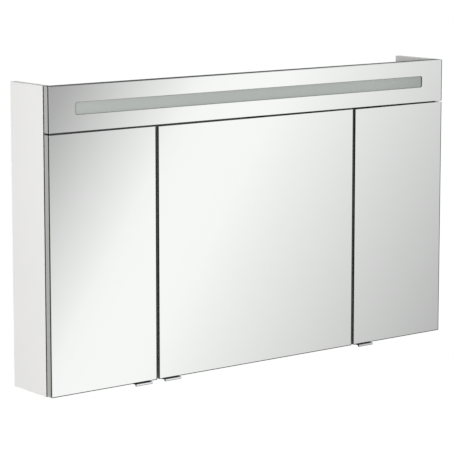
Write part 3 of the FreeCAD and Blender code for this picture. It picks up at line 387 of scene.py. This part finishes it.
def makeBumper():
    # clear soft polyurethane, cast in dots: milky, with patches of haze
    mat, tree, shader, where = startMaterial("polyurethaneClear")
    haze = addNode(tree, "ShaderNodeTexNoise", {"Vector": where, "Scale": perMetre(1.5), "Detail": 2.0})
    shine = addNode(tree, "ShaderNodeMapRange", {
        "Value": haze.outputs["Fac"], "To Min": 0.15, "To Max": 0.35})
    plug(tree, shader, {"Base Color": linear("#eef0ee"), "Roughness": shine.outputs["Result"],
                        "Transmission Weight": 0.7, "IOR": 1.45})
    return mat


melamine = makeMelamine()
hardboard = makeHardboard()
headerGrey = makeGreyBoard("pvcEdgeLight", greyBoard["header"], "header_board")
doorGrey = makeGreyBoard("pvcEdgeGrey", greyBoard["door"], "left_door_board")
mirror = makeMirror()
glassEdge = makeGlassEdge()
arris = makeArris()
backPaint = makeBackPaint()
shelfGlass = makeShelfGlass()
opal = makeOpal()
# extruded and anodised: satin, with lines along the channel
aluminium = makeBrushed("anodisedAluminium", "#c9cacc", rough=0.34, along="x", depth=0.1)
# pressed and plated: warm and fairly bright
nickel = makeBrushed("nickelPlatedSteel", "#c8c4bd", rough=0.26, along="y", depth=0.03)
zinc = makeZinc()
chrome = makeChrome()
pullShade = makePullShade()
whiteAbs = makeMoulded("absWhite", "#e6e6e2", rough=0.42)  # a clean, soft white
greyAbs = makeMoulded("absGrey", "#a4a6a8", rough=0.46)  # a dull middle grey
sheath = makeMoulded("pvcSheathWhite", "#dededa", rough=0.38)  # extruded, a little glossier
boardMask = makeMoulded("solderMaskWhite", "#e9e9e4", rough=0.4)  # printed lacquer, bright white
phosphor = makeMoulded("phosphorResin", "#e3cf6b", rough=0.3)  # cast drops, yellow when unlit
beech = makeBeech()
bumperClear = makeBumper()
print("materials made:", len(bpy.data.materials))

# the CAD nodes that keep their own shape, by finish
hingeParts = [door + part for door in doors for part in ("_hinge_cups", "_outer_links", "_inner_links")]
finishes = {
    hardboard: ["back_panel"],
    opal: ["light_diffuser"],
    aluminium: ["light_channel"],
    boardMask: ["light_board"],
    phosphor: ["light_chips"],
    whiteAbs: ["light_channel_caps", "socket_insert", "switch_rocker"],
    greyAbs: ["mains_gland"],
    sheath: ["mains_lead", "switch_lead", "light_lead"],
    zinc: ["left_hanger", "right_hanger", "header_side_brackets", "header_mid_bracket", "cam_connectors"],
    nickel: ["shelf_pins", "hinge_arms", "hinge_plates", "hinge_arm_pins"] + hingeParts,
    beech: ["carcass_dowels"],
}
for mat, names in finishes.items():
    for name in names:
        slot = nodes[name].material_slots[0]
        slot.link = "OBJECT"
        slot.material = mat
print("finishes set")

# helpers for meshes
weldReach = 1e-6  # corners of a CAD mesh nearer than this are one, metres


def weldedCopy(node):
    bm = bmesh.new()
    bm.from_mesh(nodes[node].data)
    bm.transform(nodes[node].matrix_world)
    bmesh.ops.remove_doubles(bm, verts=bm.verts, dist=weldReach)
    return bm


def addPiece(name, bm, mats, body, replaced=()):
    bmesh.ops.recalc_face_normals(bm, faces=bm.faces)
    mesh = bpy.data.meshes.new(name)
    bm.to_mesh(mesh)
    bm.free()
    oldNormals = mesh.attributes.get("custom_normal")  # of a CAD mesh, wrong once its edges are rounded
    if oldNormals:
        mesh.attributes.remove(oldNormals)
    for mat in mats:
        mesh.materials.append(mat)
    piece = bpy.data.objects.new(name, mesh)
    scene.collection.objects.link(piece)
    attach(piece, body)
    if replaced:
        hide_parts(*replaced)


def islands(node):
    # the box of each loose solid in a CAD node
    bm = weldedCopy(node)
    seen, boxes = set(), []
    for start in bm.verts:
        if start in seen:
            continue
        group, queue = [], [start]
        seen.add(start)
        while queue:
            vert = queue.pop()
            group.append(vert.co.copy())
            for edge in vert.link_edges:
                other = edge.other_vert(vert)
                if other not in seen:
                    seen.add(other)
                    queue.append(other)
        boxes.append([Vector([pick(c[i] for c in group) for i in range(3)]) for pick in (min, max)])
    bm.free()
    return boxes


def angles(count):
    return [2 * math.pi * i / count for i in range(count)]


def bridge(bm, ringA, ringB, index=0, smooth=False):
    count = len(ringA)
    for i in range(count):
        face = bm.faces.new((ringA[i], ringA[(i + 1) % count], ringB[(i + 1) % count], ringB[i]))
        face.material_index = index
        face.smooth = smooth


def fillLoops(bm, loops, index=0):
    edges = [bm.edges.get((loop[i], loop[(i + 1) % len(loop)])) for loop in loops for i in range(len(loop))]
    for part in bmesh.ops.triangle_fill(bm, use_beauty=True, use_dissolve=False, edges=edges)["geom"]:
        if isinstance(part, bmesh.types.BMFace):
            part.material_index = index


# pan-head screws with a cross recess, shared by every fitting: shares of the radius and the height
screw = {"segments": 20, "profile": [(1.0, 0.0), (1.0, 0.4), (0.9, 0.8), (0.72, 1.0)],
         "armHalf": 0.13, "armLong": 0.5, "recess": 0.6, "recessFoot": 0.75}


def addScrew(bm, place, axis, radius, height, twist):
    lean = Vector((0, 0, 1)).rotation_difference(Vector(axis)).to_matrix().to_4x4()
    turn = Matrix.Translation(place) @ lean @ Matrix.Rotation(twist, 4, "Z")

    def ring(points):
        return [bm.verts.new(turn @ Vector(point)) for point in points]

    def circle(r, z):
        return ring([(r * math.cos(a), r * math.sin(a), z) for a in angles(screw["segments"])])

    def cross(scale, z):
        half, far = screw["armHalf"] * radius * scale, screw["armLong"] * radius * scale
        arm = [(far, -half), (far, half), (half, half)]
        return ring([(x * math.cos(a) - y * math.sin(a), x * math.sin(a) + y * math.cos(a), z)
                     for a in angles(4) for x, y in arm])

    rings = [circle(radius * wide, height * tall) for wide, tall in screw["profile"]]
    for a, b in zip(rings, rings[1:]):
        bridge(bm, a, b, smooth=True)
    top, bottom = cross(1.0, height), cross(screw["recessFoot"], height * (1 - screw["recess"]))
    bridge(bm, top, bottom)
    bm.faces.new(bottom)
    fillLoops(bm, [rings[-1], top])
    bm.faces.new(rings[0])


# mirror panes: flat glass with a polished arris, silver in front, ground edge at the sides, paint behind
pane = {"slope": 0.3, "corner": 0.0016, "cornerSteps": 4,
        "slotFacet": 0.0002, "slotPlay": 0.00015, "slotCorner": 0.005,
        "header": {"left": 0.0007, "right": 0.003, "bottom": 0.0009, "top": 0.0018},  # widths of the arris
        "door": {"left": 0.0007, "right": 0.003, "bottom": 0.002, "top": 0.0009},
        "rear": {"left": 0.002, "right": 0.002, "bottom": 0.002, "top": 0.002}}


def roundedLoop(lowX, lowZ, highX, highZ, radius, steps):
    loop = []
    for cx, cz, first in ((highX - radius, highZ - radius, 0), (lowX + radius, highZ - radius, 90),
                          (lowX + radius, lowZ + radius, 180), (highX - radius, lowZ + radius, 270)):
        for i in range(steps + 1):
            angle = math.radians(first + 90 * i / steps)
            loop.append((cx + radius * math.cos(angle), cz + radius * math.sin(angle)))
    return loop


def glassPane(name, node, body, facing, facets, hole=None):
    # facing is -1 for a mirror that looks to the front and 1 for one that looks into the cabinet
    low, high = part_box(node)
    front, back = (low.y, high.y) if facing < 0 else (high.y, low.y)
    steps = pane["cornerSteps"]
    bm = bmesh.new()

    def ring(loop, depths):
        return [bm.verts.new((x, y, z)) for (x, z), y in zip(loop, depths)]

    def rimRings(outer, inner):
        # the back edge, the start of the facet at the side, and its end on the face
        falls = [max(abs(a[0] - b[0]), abs(a[1] - b[1])) * pane["slope"] for a, b in zip(outer, inner)]
        return [ring(outer, [back] * len(outer)), ring(outer, [front - facing * fall for fall in falls]),
                ring(inner, [front] * len(inner))]

    outline = roundedLoop(low.x, low.z, high.x, high.z, pane["corner"], steps)
    faceLine = roundedLoop(low.x + facets["left"], low.z + facets["bottom"], high.x - facets["right"],
                           high.z - facets["top"], pane["corner"], steps)
    rims = [rimRings(outline, faceLine)]
    if hole:
        play = pane["slotPlay"]
        loops = [roundedLoop(hole[0].x - grow, hole[0].z - grow, hole[1].x + grow, hole[1].z + grow,
                             pane["slotCorner"] + grow, steps) for grow in (play, play + pane["slotFacet"])]
        rims.append(rimRings(*loops))
    mats = [mirror, glassEdge, arris, backPaint]
    for backRing, sideRing, faceRing in rims:
        bridge(bm, backRing, sideRing, mats.index(glassEdge))
        bridge(bm, sideRing, faceRing, mats.index(arris))
    for mat, loops in ((mirror, [rings[2] for rings in rims]), (backPaint, [rings[0] for rings in rims])):
        if hole:
            fillLoops(bm, loops, mats.index(mat))
        else:
            bm.faces.new(loops[0]).material_index = mats.index(mat)
    addPiece(name, bm, mats, body, [node])


glassPane("header_pane", "header_mirror", "cabinet", -1, pane["header"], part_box("light_diffuser"))
for door in doors:
    glassPane(door + "_pane", door + "_door_mirror", door + "_door", -1, pane["door"])
    glassPane(door + "_rear_pane", door + "_rear_mirror", door + "_door", 1, pane["rear"])
print("mirror panes made")

# pulls: one bent strip each, bright on the lip, with painted shade in near black on top, at its ends and
# round the lip
pull = {"thick": 0.0015, "lip": 0.0038, "bend": 0.0007, "bendSteps": 5, "soften": 0.00015, "softenSteps": 2,
        "rim": 0.0009, "sharp": 1.0, "lipFacing": -0.99, "topFacing": 0.6, "endFacing": 0.7}
for door in doors:
    node = door + "_door_pull"
    low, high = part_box(node)
    thick, bend = pull["thick"], pull["bend"]
    outline = [(high.y, high.z - thick), (high.y, high.z)]
    for i in range(pull["bendSteps"] + 1):
        angle = math.radians(90 + 90 * i / pull["bendSteps"])
        outline.append((low.y + bend + bend * math.cos(angle), high.z - bend + bend * math.sin(angle)))
    outline += [(low.y, low.z), (low.y + pull["lip"], low.z), (low.y + pull["lip"], high.z - thick)]
    bm = bmesh.new()
    ends = [[bm.verts.new((x, y, z)) for y, z in outline] for x in (low.x, high.x)]
    bridge(bm, ends[0], ends[1])
    for end in ends:
        bm.faces.new(end)
    bmesh.ops.recalc_face_normals(bm, faces=bm.faces)
    corners = [edge for edge in bm.edges if edge.calc_face_angle(0) > pull["sharp"]]
    bmesh.ops.bevel(bm, geom=corners, offset=pull["soften"], segments=pull["softenSteps"], affect="EDGES",
                    profile=0.5)
    lip = [max((f for f in bm.faces if f.normal.y < pull["lipFacing"]), key=lambda f: f.calc_area())]
    rim = bmesh.ops.inset_region(bm, faces=lip, thickness=pull["rim"], use_even_offset=True)["faces"]
    # painted shade: faces that look up or to the side take the near black
    for face in bm.faces:
        isShaded = face.normal.z > pull["topFacing"] or abs(face.normal.x) > pull["endFacing"]
        face.material_index = 1 if isShaded else 0
    for face in rim:  # painted shade round the lip, but bright along the bend
        face.material_index = 0 if face.calc_center_median().z > high.z - 2 * bend else 1
    addPiece(door + "_pull_strip", bm, [chrome, pullShade], door + "_door", [node])
print("pulls made")

# boards, boxes and shelves with the small roundings that edging, moulding and grinding leave
soften = {"board": 0.0008, "front": 0.0006, "box": 0.0012, "shelf": 0.001, "steps": 3,
          "near": 0.00002, "flat": 0.9999, "joinAngle": 0.5, "wall": 0.1, "top": 0.9}


def softened(name, node, mat, body, radius, corners):
    bm = weldedCopy(node)
    joinAngle = math.radians(soften["joinAngle"])
    bmesh.ops.dissolve_limit(bm, angle_limit=joinAngle, verts=bm.verts, edges=bm.edges)
    low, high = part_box(node)

    def boxFaces(vert):
        return {(i, end) for i in range(3) for end, limit in enumerate((low[i], high[i]))
                if abs(vert.co[i] - limit) < soften["near"]}

    def isRim(edge):
        touched = [boxFaces(vert) for vert in edge.verts]
        if corners == "box":  # the outline of a board, not its holes and grooves
            return len(touched[0] & touched[1]) > 1
        if corners == "ends" and not all(faces & {(2, 0), (2, 1)} for faces in touched):
            return False  # the rims of the top and bottom alone
        level = sorted(abs(face.normal.z) for face in edge.link_faces)  # where a flat top meets a wall
        return level[0] < soften["wall"] and level[1] > soften["top"] and edge.is_convex

    rim = [edge for edge in bm.edges if edge.is_manifold and isRim(edge)]
    bmesh.ops.bevel(bm, geom=rim, offset=radius, segments=soften["steps"], profile=0.5, affect="EDGES",
                    clamp_overlap=corners == "box", loop_slide=False)
    bm.normal_update()
    for face in bm.faces:  # smooth on roundings and bores, not on the flats
        face.smooth = max(abs(part) for part in face.normal) < soften["flat"]
    addPiece(name, bm, [mat], body, [node])


for part in ("left_side", "right_side", "bottom", "top"):
    softened(part + "_board", part + "_panel", melamine, "cabinet", soften["board"], "box")
for part in ("left_divider", "right_divider"):
    softened(part + "_board", part, melamine, "cabinet", soften["board"], "box")
softened("header_backing", "header_board", headerGrey, "cabinet",
         soften["front"], "box")
for door in doors:
    softened(door + "_backing", door + "_door_board", doorGrey, door + "_door",
             soften["front"], "box")
    softened(door + "_shelf_glass", door + "_shelves", shelfGlass, "cabinet",
             soften["shelf"], "rim")
softened("junction_case", "junction_box", greyAbs, "cabinet", soften["box"], "rim")
softened("driver_case", "light_driver", whiteAbs, "cabinet", soften["box"], "rim")
softened("switch_case", "switch_box", whiteAbs, "cabinet", soften["box"], "ends")
print("edges softened")

# screw heads on the brackets; a twist is how far each head is turned, in radians
bracketScrew = {"radius": 0.0035, "height": 0.002, "twist": 0.7}
bm = bmesh.new()
for index, (low, high) in enumerate(islands("bracket_screws")):
    span = high - low
    middle = (low + high) / 2
    way = max(range(3), key=lambda i: span[i])
    axis = Vector((0, 0, 0))
    axis[way] = -1 if way == 0 and middle.x >= 0 else 1  # heads of the side screws face the inside
    foot = middle.copy()
    foot[way] = (high if axis[way] > 0 else low)[way] - axis[way] * bracketScrew["height"]
    addScrew(bm, foot, axis, bracketScrew["radius"], bracketScrew["height"], index * bracketScrew["twist"])
addPiece("bracket_screw_heads", bm, [zinc], "cabinet", ["bracket_screws"])

# screws of the hinge plates, and the two adjusting screws on each arm
plateScrew = {"radius": 0.0035, "height": 0.0018, "reach": 0.0165, "back": 0.011, "wingThick": 0.0025,
              "nearWall": 0.02, "twist": 0.9,
              "armReaches": (0.012, 0.03), "armTall": 0.012, "armHeight": 0.001, "armTwist": (0.6, 90)}
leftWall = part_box("left_side_panel")[1].x  # carries the left door, the other doors hang on their right
bm = bmesh.new()
for index, (low, high) in enumerate(islands("hinge_plates")):
    inward = 1 if abs(low.x - leftWall) < plateScrew["nearWall"] else -1
    foot, top = (low.x, high.x) if inward > 0 else (high.x, low.x)
    middleZ = (low.z + high.z) / 2
    for rise in (-1, 1):
        place = (foot + inward * plateScrew["wingThick"], low.y + plateScrew["back"],
                 middleZ + rise * plateScrew["reach"])
        addScrew(bm, place, (inward, 0, 0), plateScrew["radius"], plateScrew["height"],
                 index * plateScrew["twist"] + rise)
    perHinge, perReach = plateScrew["armTwist"]
    for reach in plateScrew["armReaches"]:
        place = (top + inward * plateScrew["armTall"], low.y + reach, middleZ)
        addScrew(bm, place, (inward, 0, 0), plateScrew["radius"], plateScrew["armHeight"],
                 index * perHinge + reach * perReach)
addPiece("hinge_plate_screws", bm, [nickel], "cabinet")

# two screws in the ears of each hinge cup
cupScrew = {"radius": 0.0035, "height": 0.0018, "reach": 0.024, "shift": 0.006,
            "cupTall": 0.05, "twist": 1.1}
for door in doors:
    bm = bmesh.new()
    inward = 1 if door == "left" else -1
    cups = [(low, high) for low, high in islands(door + "_hinge_cups")
            if high.z - low.z > cupScrew["cupTall"]]  # the cups without their pins
    for index, (low, high) in enumerate(cups):
        for rise in (-1, 1):
            place = ((low.x + high.x) / 2 + inward * cupScrew["shift"], high.y,
                     (low.z + high.z) / 2 + rise * cupScrew["reach"])
            addScrew(bm, place, (0, 1, 0), cupScrew["radius"], cupScrew["height"],
                     index * cupScrew["twist"] + rise)
    addPiece(door + "_cup_screws", bm, [nickel], door + "_door")

# screws in the lid of the junction box and in the ears of the driver
boxScrew = {"lidInset": 0.007, "lidRadius": 0.003, "lidHeight": 0.0012, "lidTwist": (40, 70),
            "earInset": 0.006, "earThick": 0.003, "earRadius": 0.0035, "earHeight": 0.0018, "earTwist": 50}
bm = bmesh.new()
low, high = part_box("junction_box")
perX, perY = boxScrew["lidTwist"]
for x in (low.x + boxScrew["lidInset"], high.x - boxScrew["lidInset"]):
    for y in (low.y + boxScrew["lidInset"], high.y - boxScrew["lidInset"]):
        addScrew(bm, (x, y, high.z), (0, 0, 1), boxScrew["lidRadius"], boxScrew["lidHeight"],
                 x * perX + y * perY)
low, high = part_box("light_driver")
for x in (low.x + boxScrew["earInset"], high.x - boxScrew["earInset"]):
    place = (x, (low.y + high.y) / 2, low.z + boxScrew["earThick"])
    addScrew(bm, place, (0, 0, 1), boxScrew["earRadius"], boxScrew["earHeight"], x * boxScrew["earTwist"])
addPiece("box_screws", bm, [zinc], "cabinet")
print("screws made")

# socket: two earth springs, the sleeves behind the pole holes and the screw that holds the insert
socket = {"bore": 0.0193, "deep": 0.0175, "pole": 0.0095,
          "sleeve": 0.0024, "sleeveBore": 0.0018, "sleeveDeep": 0.003, "sleeveBack": 0.0003,
          "sleeveSides": 20,
          "springWide": 0.005, "springThick": 0.0008, "springSet": 0.0006, "springBulge": 0.0022,
          "springFrom": 0.005, "springSteps": 10,
          "screwRadius": 0.003, "screwHigh": 0.0014, "screwTwist": 0.5}
low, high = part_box("socket_insert")
# the middle of the recess floor
hub = Vector(((low.x + high.x) / 2, low.y + socket["deep"], (low.z + high.z) / 2))
bm = bmesh.new()
for rise in (-1, 1):
    outer, inner = [], []
    for i in range(socket["springSteps"] + 1):
        share = i / socket["springSteps"]
        y = low.y + socket["springFrom"] + share * (socket["deep"] - socket["springFrom"])
        out = socket["bore"] - socket["springSet"] - socket["springBulge"] * math.sin(math.pi * share) ** 2
        outer.append((y, hub.z + rise * out))
        inner.append((y, hub.z + rise * (out - socket["springThick"])))
    outline = outer + inner[::-1]
    flanks = [[bm.verts.new((hub.x + step * socket["springWide"] / 2, y, z)) for y, z in outline]
              for step in (-1, 1)]
    bridge(bm, flanks[0], flanks[1])
    for line in flanks:
        for i in range(socket["springSteps"]):
            bm.faces.new((line[i], line[i + 1], line[-2 - i], line[-1 - i]))
for step in (-1, 1):
    middle = hub + Vector((step * socket["pole"], 0, 0))
    rings = []
    for radius, deep in ((socket["sleeve"], 0.0), (socket["sleeve"], socket["sleeveDeep"]),
                         (socket["sleeveBore"], socket["sleeveDeep"]), (socket["sleeveBore"], 0.0)):
        y = socket["sleeveBack"] + deep
        rings.append([bm.verts.new(middle + Vector((radius * math.cos(a), y, radius * math.sin(a))))
                      for a in angles(socket["sleeveSides"])])
    for i, ring in enumerate(rings):
        bridge(bm, ring, rings[(i + 1) % len(rings)])
addScrew(bm, hub, (0, -1, 0), socket["screwRadius"], socket["screwHigh"], socket["screwTwist"])
addPiece("socket_contacts", bm, [nickel], "cabinet")
print("socket contacts made")

# bumpers: domed dots instead of flat ones
dome = {"segments": 24, "rings": 6}
bm = bmesh.new()
for low, high in islands("door_bumpers"):
    radius, tall = (high.x - low.x) / 2, high.y - low.y
    middle = (low + high) / 2
    rings = []
    for k in range(dome["rings"]):
        share = k / dome["rings"]
        r = radius * math.sqrt(1 - share * share)
        y = high.y - tall * share
        rings.append([bm.verts.new((middle.x + r * math.cos(a), y, middle.z + r * math.sin(a)))
                      for a in angles(dome["segments"])])
    for a, b in zip(rings, rings[1:]):
        bridge(bm, a, b)
    bm.faces.new(rings[0])
    bm.faces.new(rings[-1])
for face in bm.faces:
    face.smooth = True
addPiece("bumper_domes", bm, [bumperClear], "cabinet", ["door_bumpers"])
print("bumpers made")

# camera at the photograph's viewing angle
view = {"place": (-3.1005, -4.0300, 0.4879), "pitch": -7.8153, "yaw": -37.7925,
        "lens": 164.84, "sensor": 36, "shiftY": -0.12, "clipEnd": 100}
camera = bpy.data.objects.new("camera", bpy.data.cameras.new("camera"))
camera.location = view["place"]
camera.rotation_euler = (math.radians(90 + view["pitch"]), 0, math.radians(view["yaw"]))
camera.data.sensor_width = view["sensor"]
camera.data.lens = view["lens"]
camera.data.shift_y = view["shiftY"]
camera.data.clip_end = view["clipEnd"]
scene.collection.objects.link(camera)
scene.camera = camera

# studio: white all round, with a soft grey falloff that shows only in reflections
# each stop is a part of the direction, from -1 to 1, and the light there
studio = {"fill": 0.5, "white": 1.0,
          "across": (0.67005, 0.59562, -0.44302),  # the way along which the falloff runs
          "falloff": [(-1.0, 0.9), (-0.78, 0.5), (-0.71, 0.5), (-0.64, 0.64), (-0.57, 0.86), (-0.53, 0.98),
                      (-0.5, 1.0), (-0.41, 1.0), (-0.35, 0.8), (-0.28, 0.4), (-0.2, 0.06), (-0.14, 0.13),
                      (-0.0871, 0.445), (-0.0533, 0.765), (-0.03, 0.97), (-0.02, 0.99), (0.006, 0.99),
                      (0.0467, 0.825), (0.1125, 0.56), (0.2, 0.18), (0.3, 0.05), (0.68, 0.05), (0.9, 0.3)],
          "below": [(-1.0, 0.12), (-0.72, 0.16), (-0.55, 1.0)],  # darker straight down
          "above": [(0.4, 0.0), (0.7, 1.0)],  # white straight up
          "wallFrom": 0.1, "wallTo": 0.45,  # where the wall behind the cabinet begins
          "wall": [(-0.75, 0.5), (-0.35, 0.9), (0.1, 0.9), (0.45, 0.3)]}
world = bpy.data.worlds.new("studioWorld")
world.use_nodes = True
scene.world = world
tree = world.node_tree
toward = addNode(tree, "ShaderNodeTexCoord").outputs["Generated"]
across = addNode(tree, "ShaderNodeVectorMath", {0: toward, 1: studio["across"]}, operation="DOT_PRODUCT")
parts = addNode(tree, "ShaderNodeSeparateXYZ", {"Vector": toward}).outputs
tones = {}
for name, way in (("falloff", across.outputs["Value"]), ("below", parts["Z"]),
                  ("above", parts["Z"]), ("wall", parts["X"])):
    share = addNode(tree, "ShaderNodeMapRange", {"Value": way, "From Min": -1.0, "From Max": 1.0})
    ramp = addNode(tree, "ShaderNodeValToRGB", {"Fac": share.outputs["Result"]}, stops=[
        ((place + 1) / 2, grey(level)) for place, level in studio[name]])
    tones[name] = ramp.outputs["Color"]
lowered = addNode(tree, "ShaderNodeMix", {
    "Factor": 1.0, "A": tones["falloff"], "B": tones["below"]}, data_type="RGBA", blend_type="MULTIPLY")
sheen = addNode(tree, "ShaderNodeMix", {
    "Factor": tones["above"], "A": lowered.outputs["Result"], "B": grey(studio["white"])}, data_type="RGBA")
behind = addNode(tree, "ShaderNodeMapRange", {
    "Value": parts["Y"], "From Min": studio["wallFrom"], "From Max": studio["wallTo"]},
    interpolation_type="SMOOTHSTEP")
around = addNode(tree, "ShaderNodeMix", {
    "Factor": behind.outputs["Result"], "A": sheen.outputs["Result"], "B": tones["wall"]}, data_type="RGBA")
ray = addNode(tree, "ShaderNodeLightPath")
seen = addNode(tree, "ShaderNodeMath", {
    0: ray.outputs["Is Camera Ray"], 1: ray.outputs["Is Transmission Ray"]}, operation="MAXIMUM")
plain = addNode(tree, "ShaderNodeMix", {
    "Factor": seen.outputs["Value"], "A": grey(studio["fill"]),
    "B": grey(studio["white"])}, data_type="RGBA")
colour = addNode(tree, "ShaderNodeMix", {
    "Factor": ray.outputs["Is Glossy Ray"], "A": plain.outputs["Result"],
    "B": around.outputs["Result"]}, data_type="RGBA")
plug(tree, tree.nodes["Background"], {"Color": colour.outputs["Result"], "Strength": 1.0})
print("camera and studio set")

# floor: pale, well below the hung cabinet, white to the eye but still taking its shadow
floorPlan = {"level": -1.75, "radius": 4.0, "segments": 96, "fadeFrom": 1.9, "fadeTo": 3.92, "glow": 0.42}
bm = bmesh.new()
bmesh.ops.create_circle(bm, cap_ends=True, segments=floorPlan["segments"], radius=floorPlan["radius"])
floorMesh = bpy.data.meshes.new("floor")
bm.to_mesh(floorMesh)
bm.free()
floor = bpy.data.objects.new("floor", floorMesh)
floor.location.z = floorPlan["level"]
scene.collection.objects.link(floor)
floor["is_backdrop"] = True
floor.visible_glossy = False
# floor paint, rolled on: matt and pale, thinning out to nothing towards the rim
floorPaint, tree, shader, where = startMaterial("floorPaintPale")
ray = addNode(tree, "ShaderNodeLightPath")
seen = addNode(tree, "ShaderNodeMath", {
    0: ray.outputs["Is Camera Ray"], 1: ray.outputs["Is Transmission Ray"]}, operation="MAXIMUM")
glow = addNode(tree, "ShaderNodeMath", {
    0: seen.outputs["Value"], 1: floorPlan["glow"]}, operation="MULTIPLY")
far = addNode(tree, "ShaderNodeVectorMath", {0: where}, operation="LENGTH")
fade = addNode(tree, "ShaderNodeMapRange", {
    "Value": far.outputs["Value"], "From Min": floorPlan["fadeFrom"], "From Max": floorPlan["fadeTo"],
    "To Min": 1.0, "To Max": 0.0}, interpolation_type="SMOOTHSTEP")
plug(tree, shader, {"Base Color": linear("#e8e8e8"), "Roughness": 0.9, "Alpha": fade.outputs["Result"],
                    "Emission Color": grey(1.0), "Emission Strength": glow.outputs["Value"]})
floorMesh.materials.append(floorPaint)
print("floor laid")

# lamps: a large soft box from the front left, a small one beside the left panel,
# and two on the right, one in front of the cabinet and one behind it
lamps = {"key": {"place": (-4.0, -2.4, 0.0), "aim": (0, -0.1, -0.3), "wide": 2.4, "tall": 1.2, "watts": 91},
         "side": {"place": (-1.4, -0.35, 0.03), "aim": (-0.6, -0.08, -0.15), "wide": 0.4, "tall": 0.4,
                  "watts": 0.8},
         "fill": {"place": (2.4, -3.8, 1.2), "aim": (0, -0.1, -0.3), "wide": 2.4, "tall": 2.4, "watts": 45},
         "rim": {"place": (3.0, 3.2, 1.8), "aim": (0, 0, -0.3), "wide": 2.4, "tall": 2.4, "watts": 70}}
for name, plan in lamps.items():
    data = bpy.data.lights.new(name + "Lamp", "AREA")
    data.shape = "RECTANGLE"
    data.size, data.size_y = plan["wide"], plan["tall"]
    data.energy = plan["watts"]
    lamp = bpy.data.objects.new(name + "Lamp", data)
    lamp.location = plan["place"]
    lamp.rotation_euler = (Vector(plan["aim"]) - Vector(plan["place"])).to_track_quat("-Z", "Y").to_euler()
    lamp.visible_glossy = False
    scene.collection.objects.link(lamp)
scene.view_settings.view_transform = "Standard"
print("lamps hung")

low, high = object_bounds()
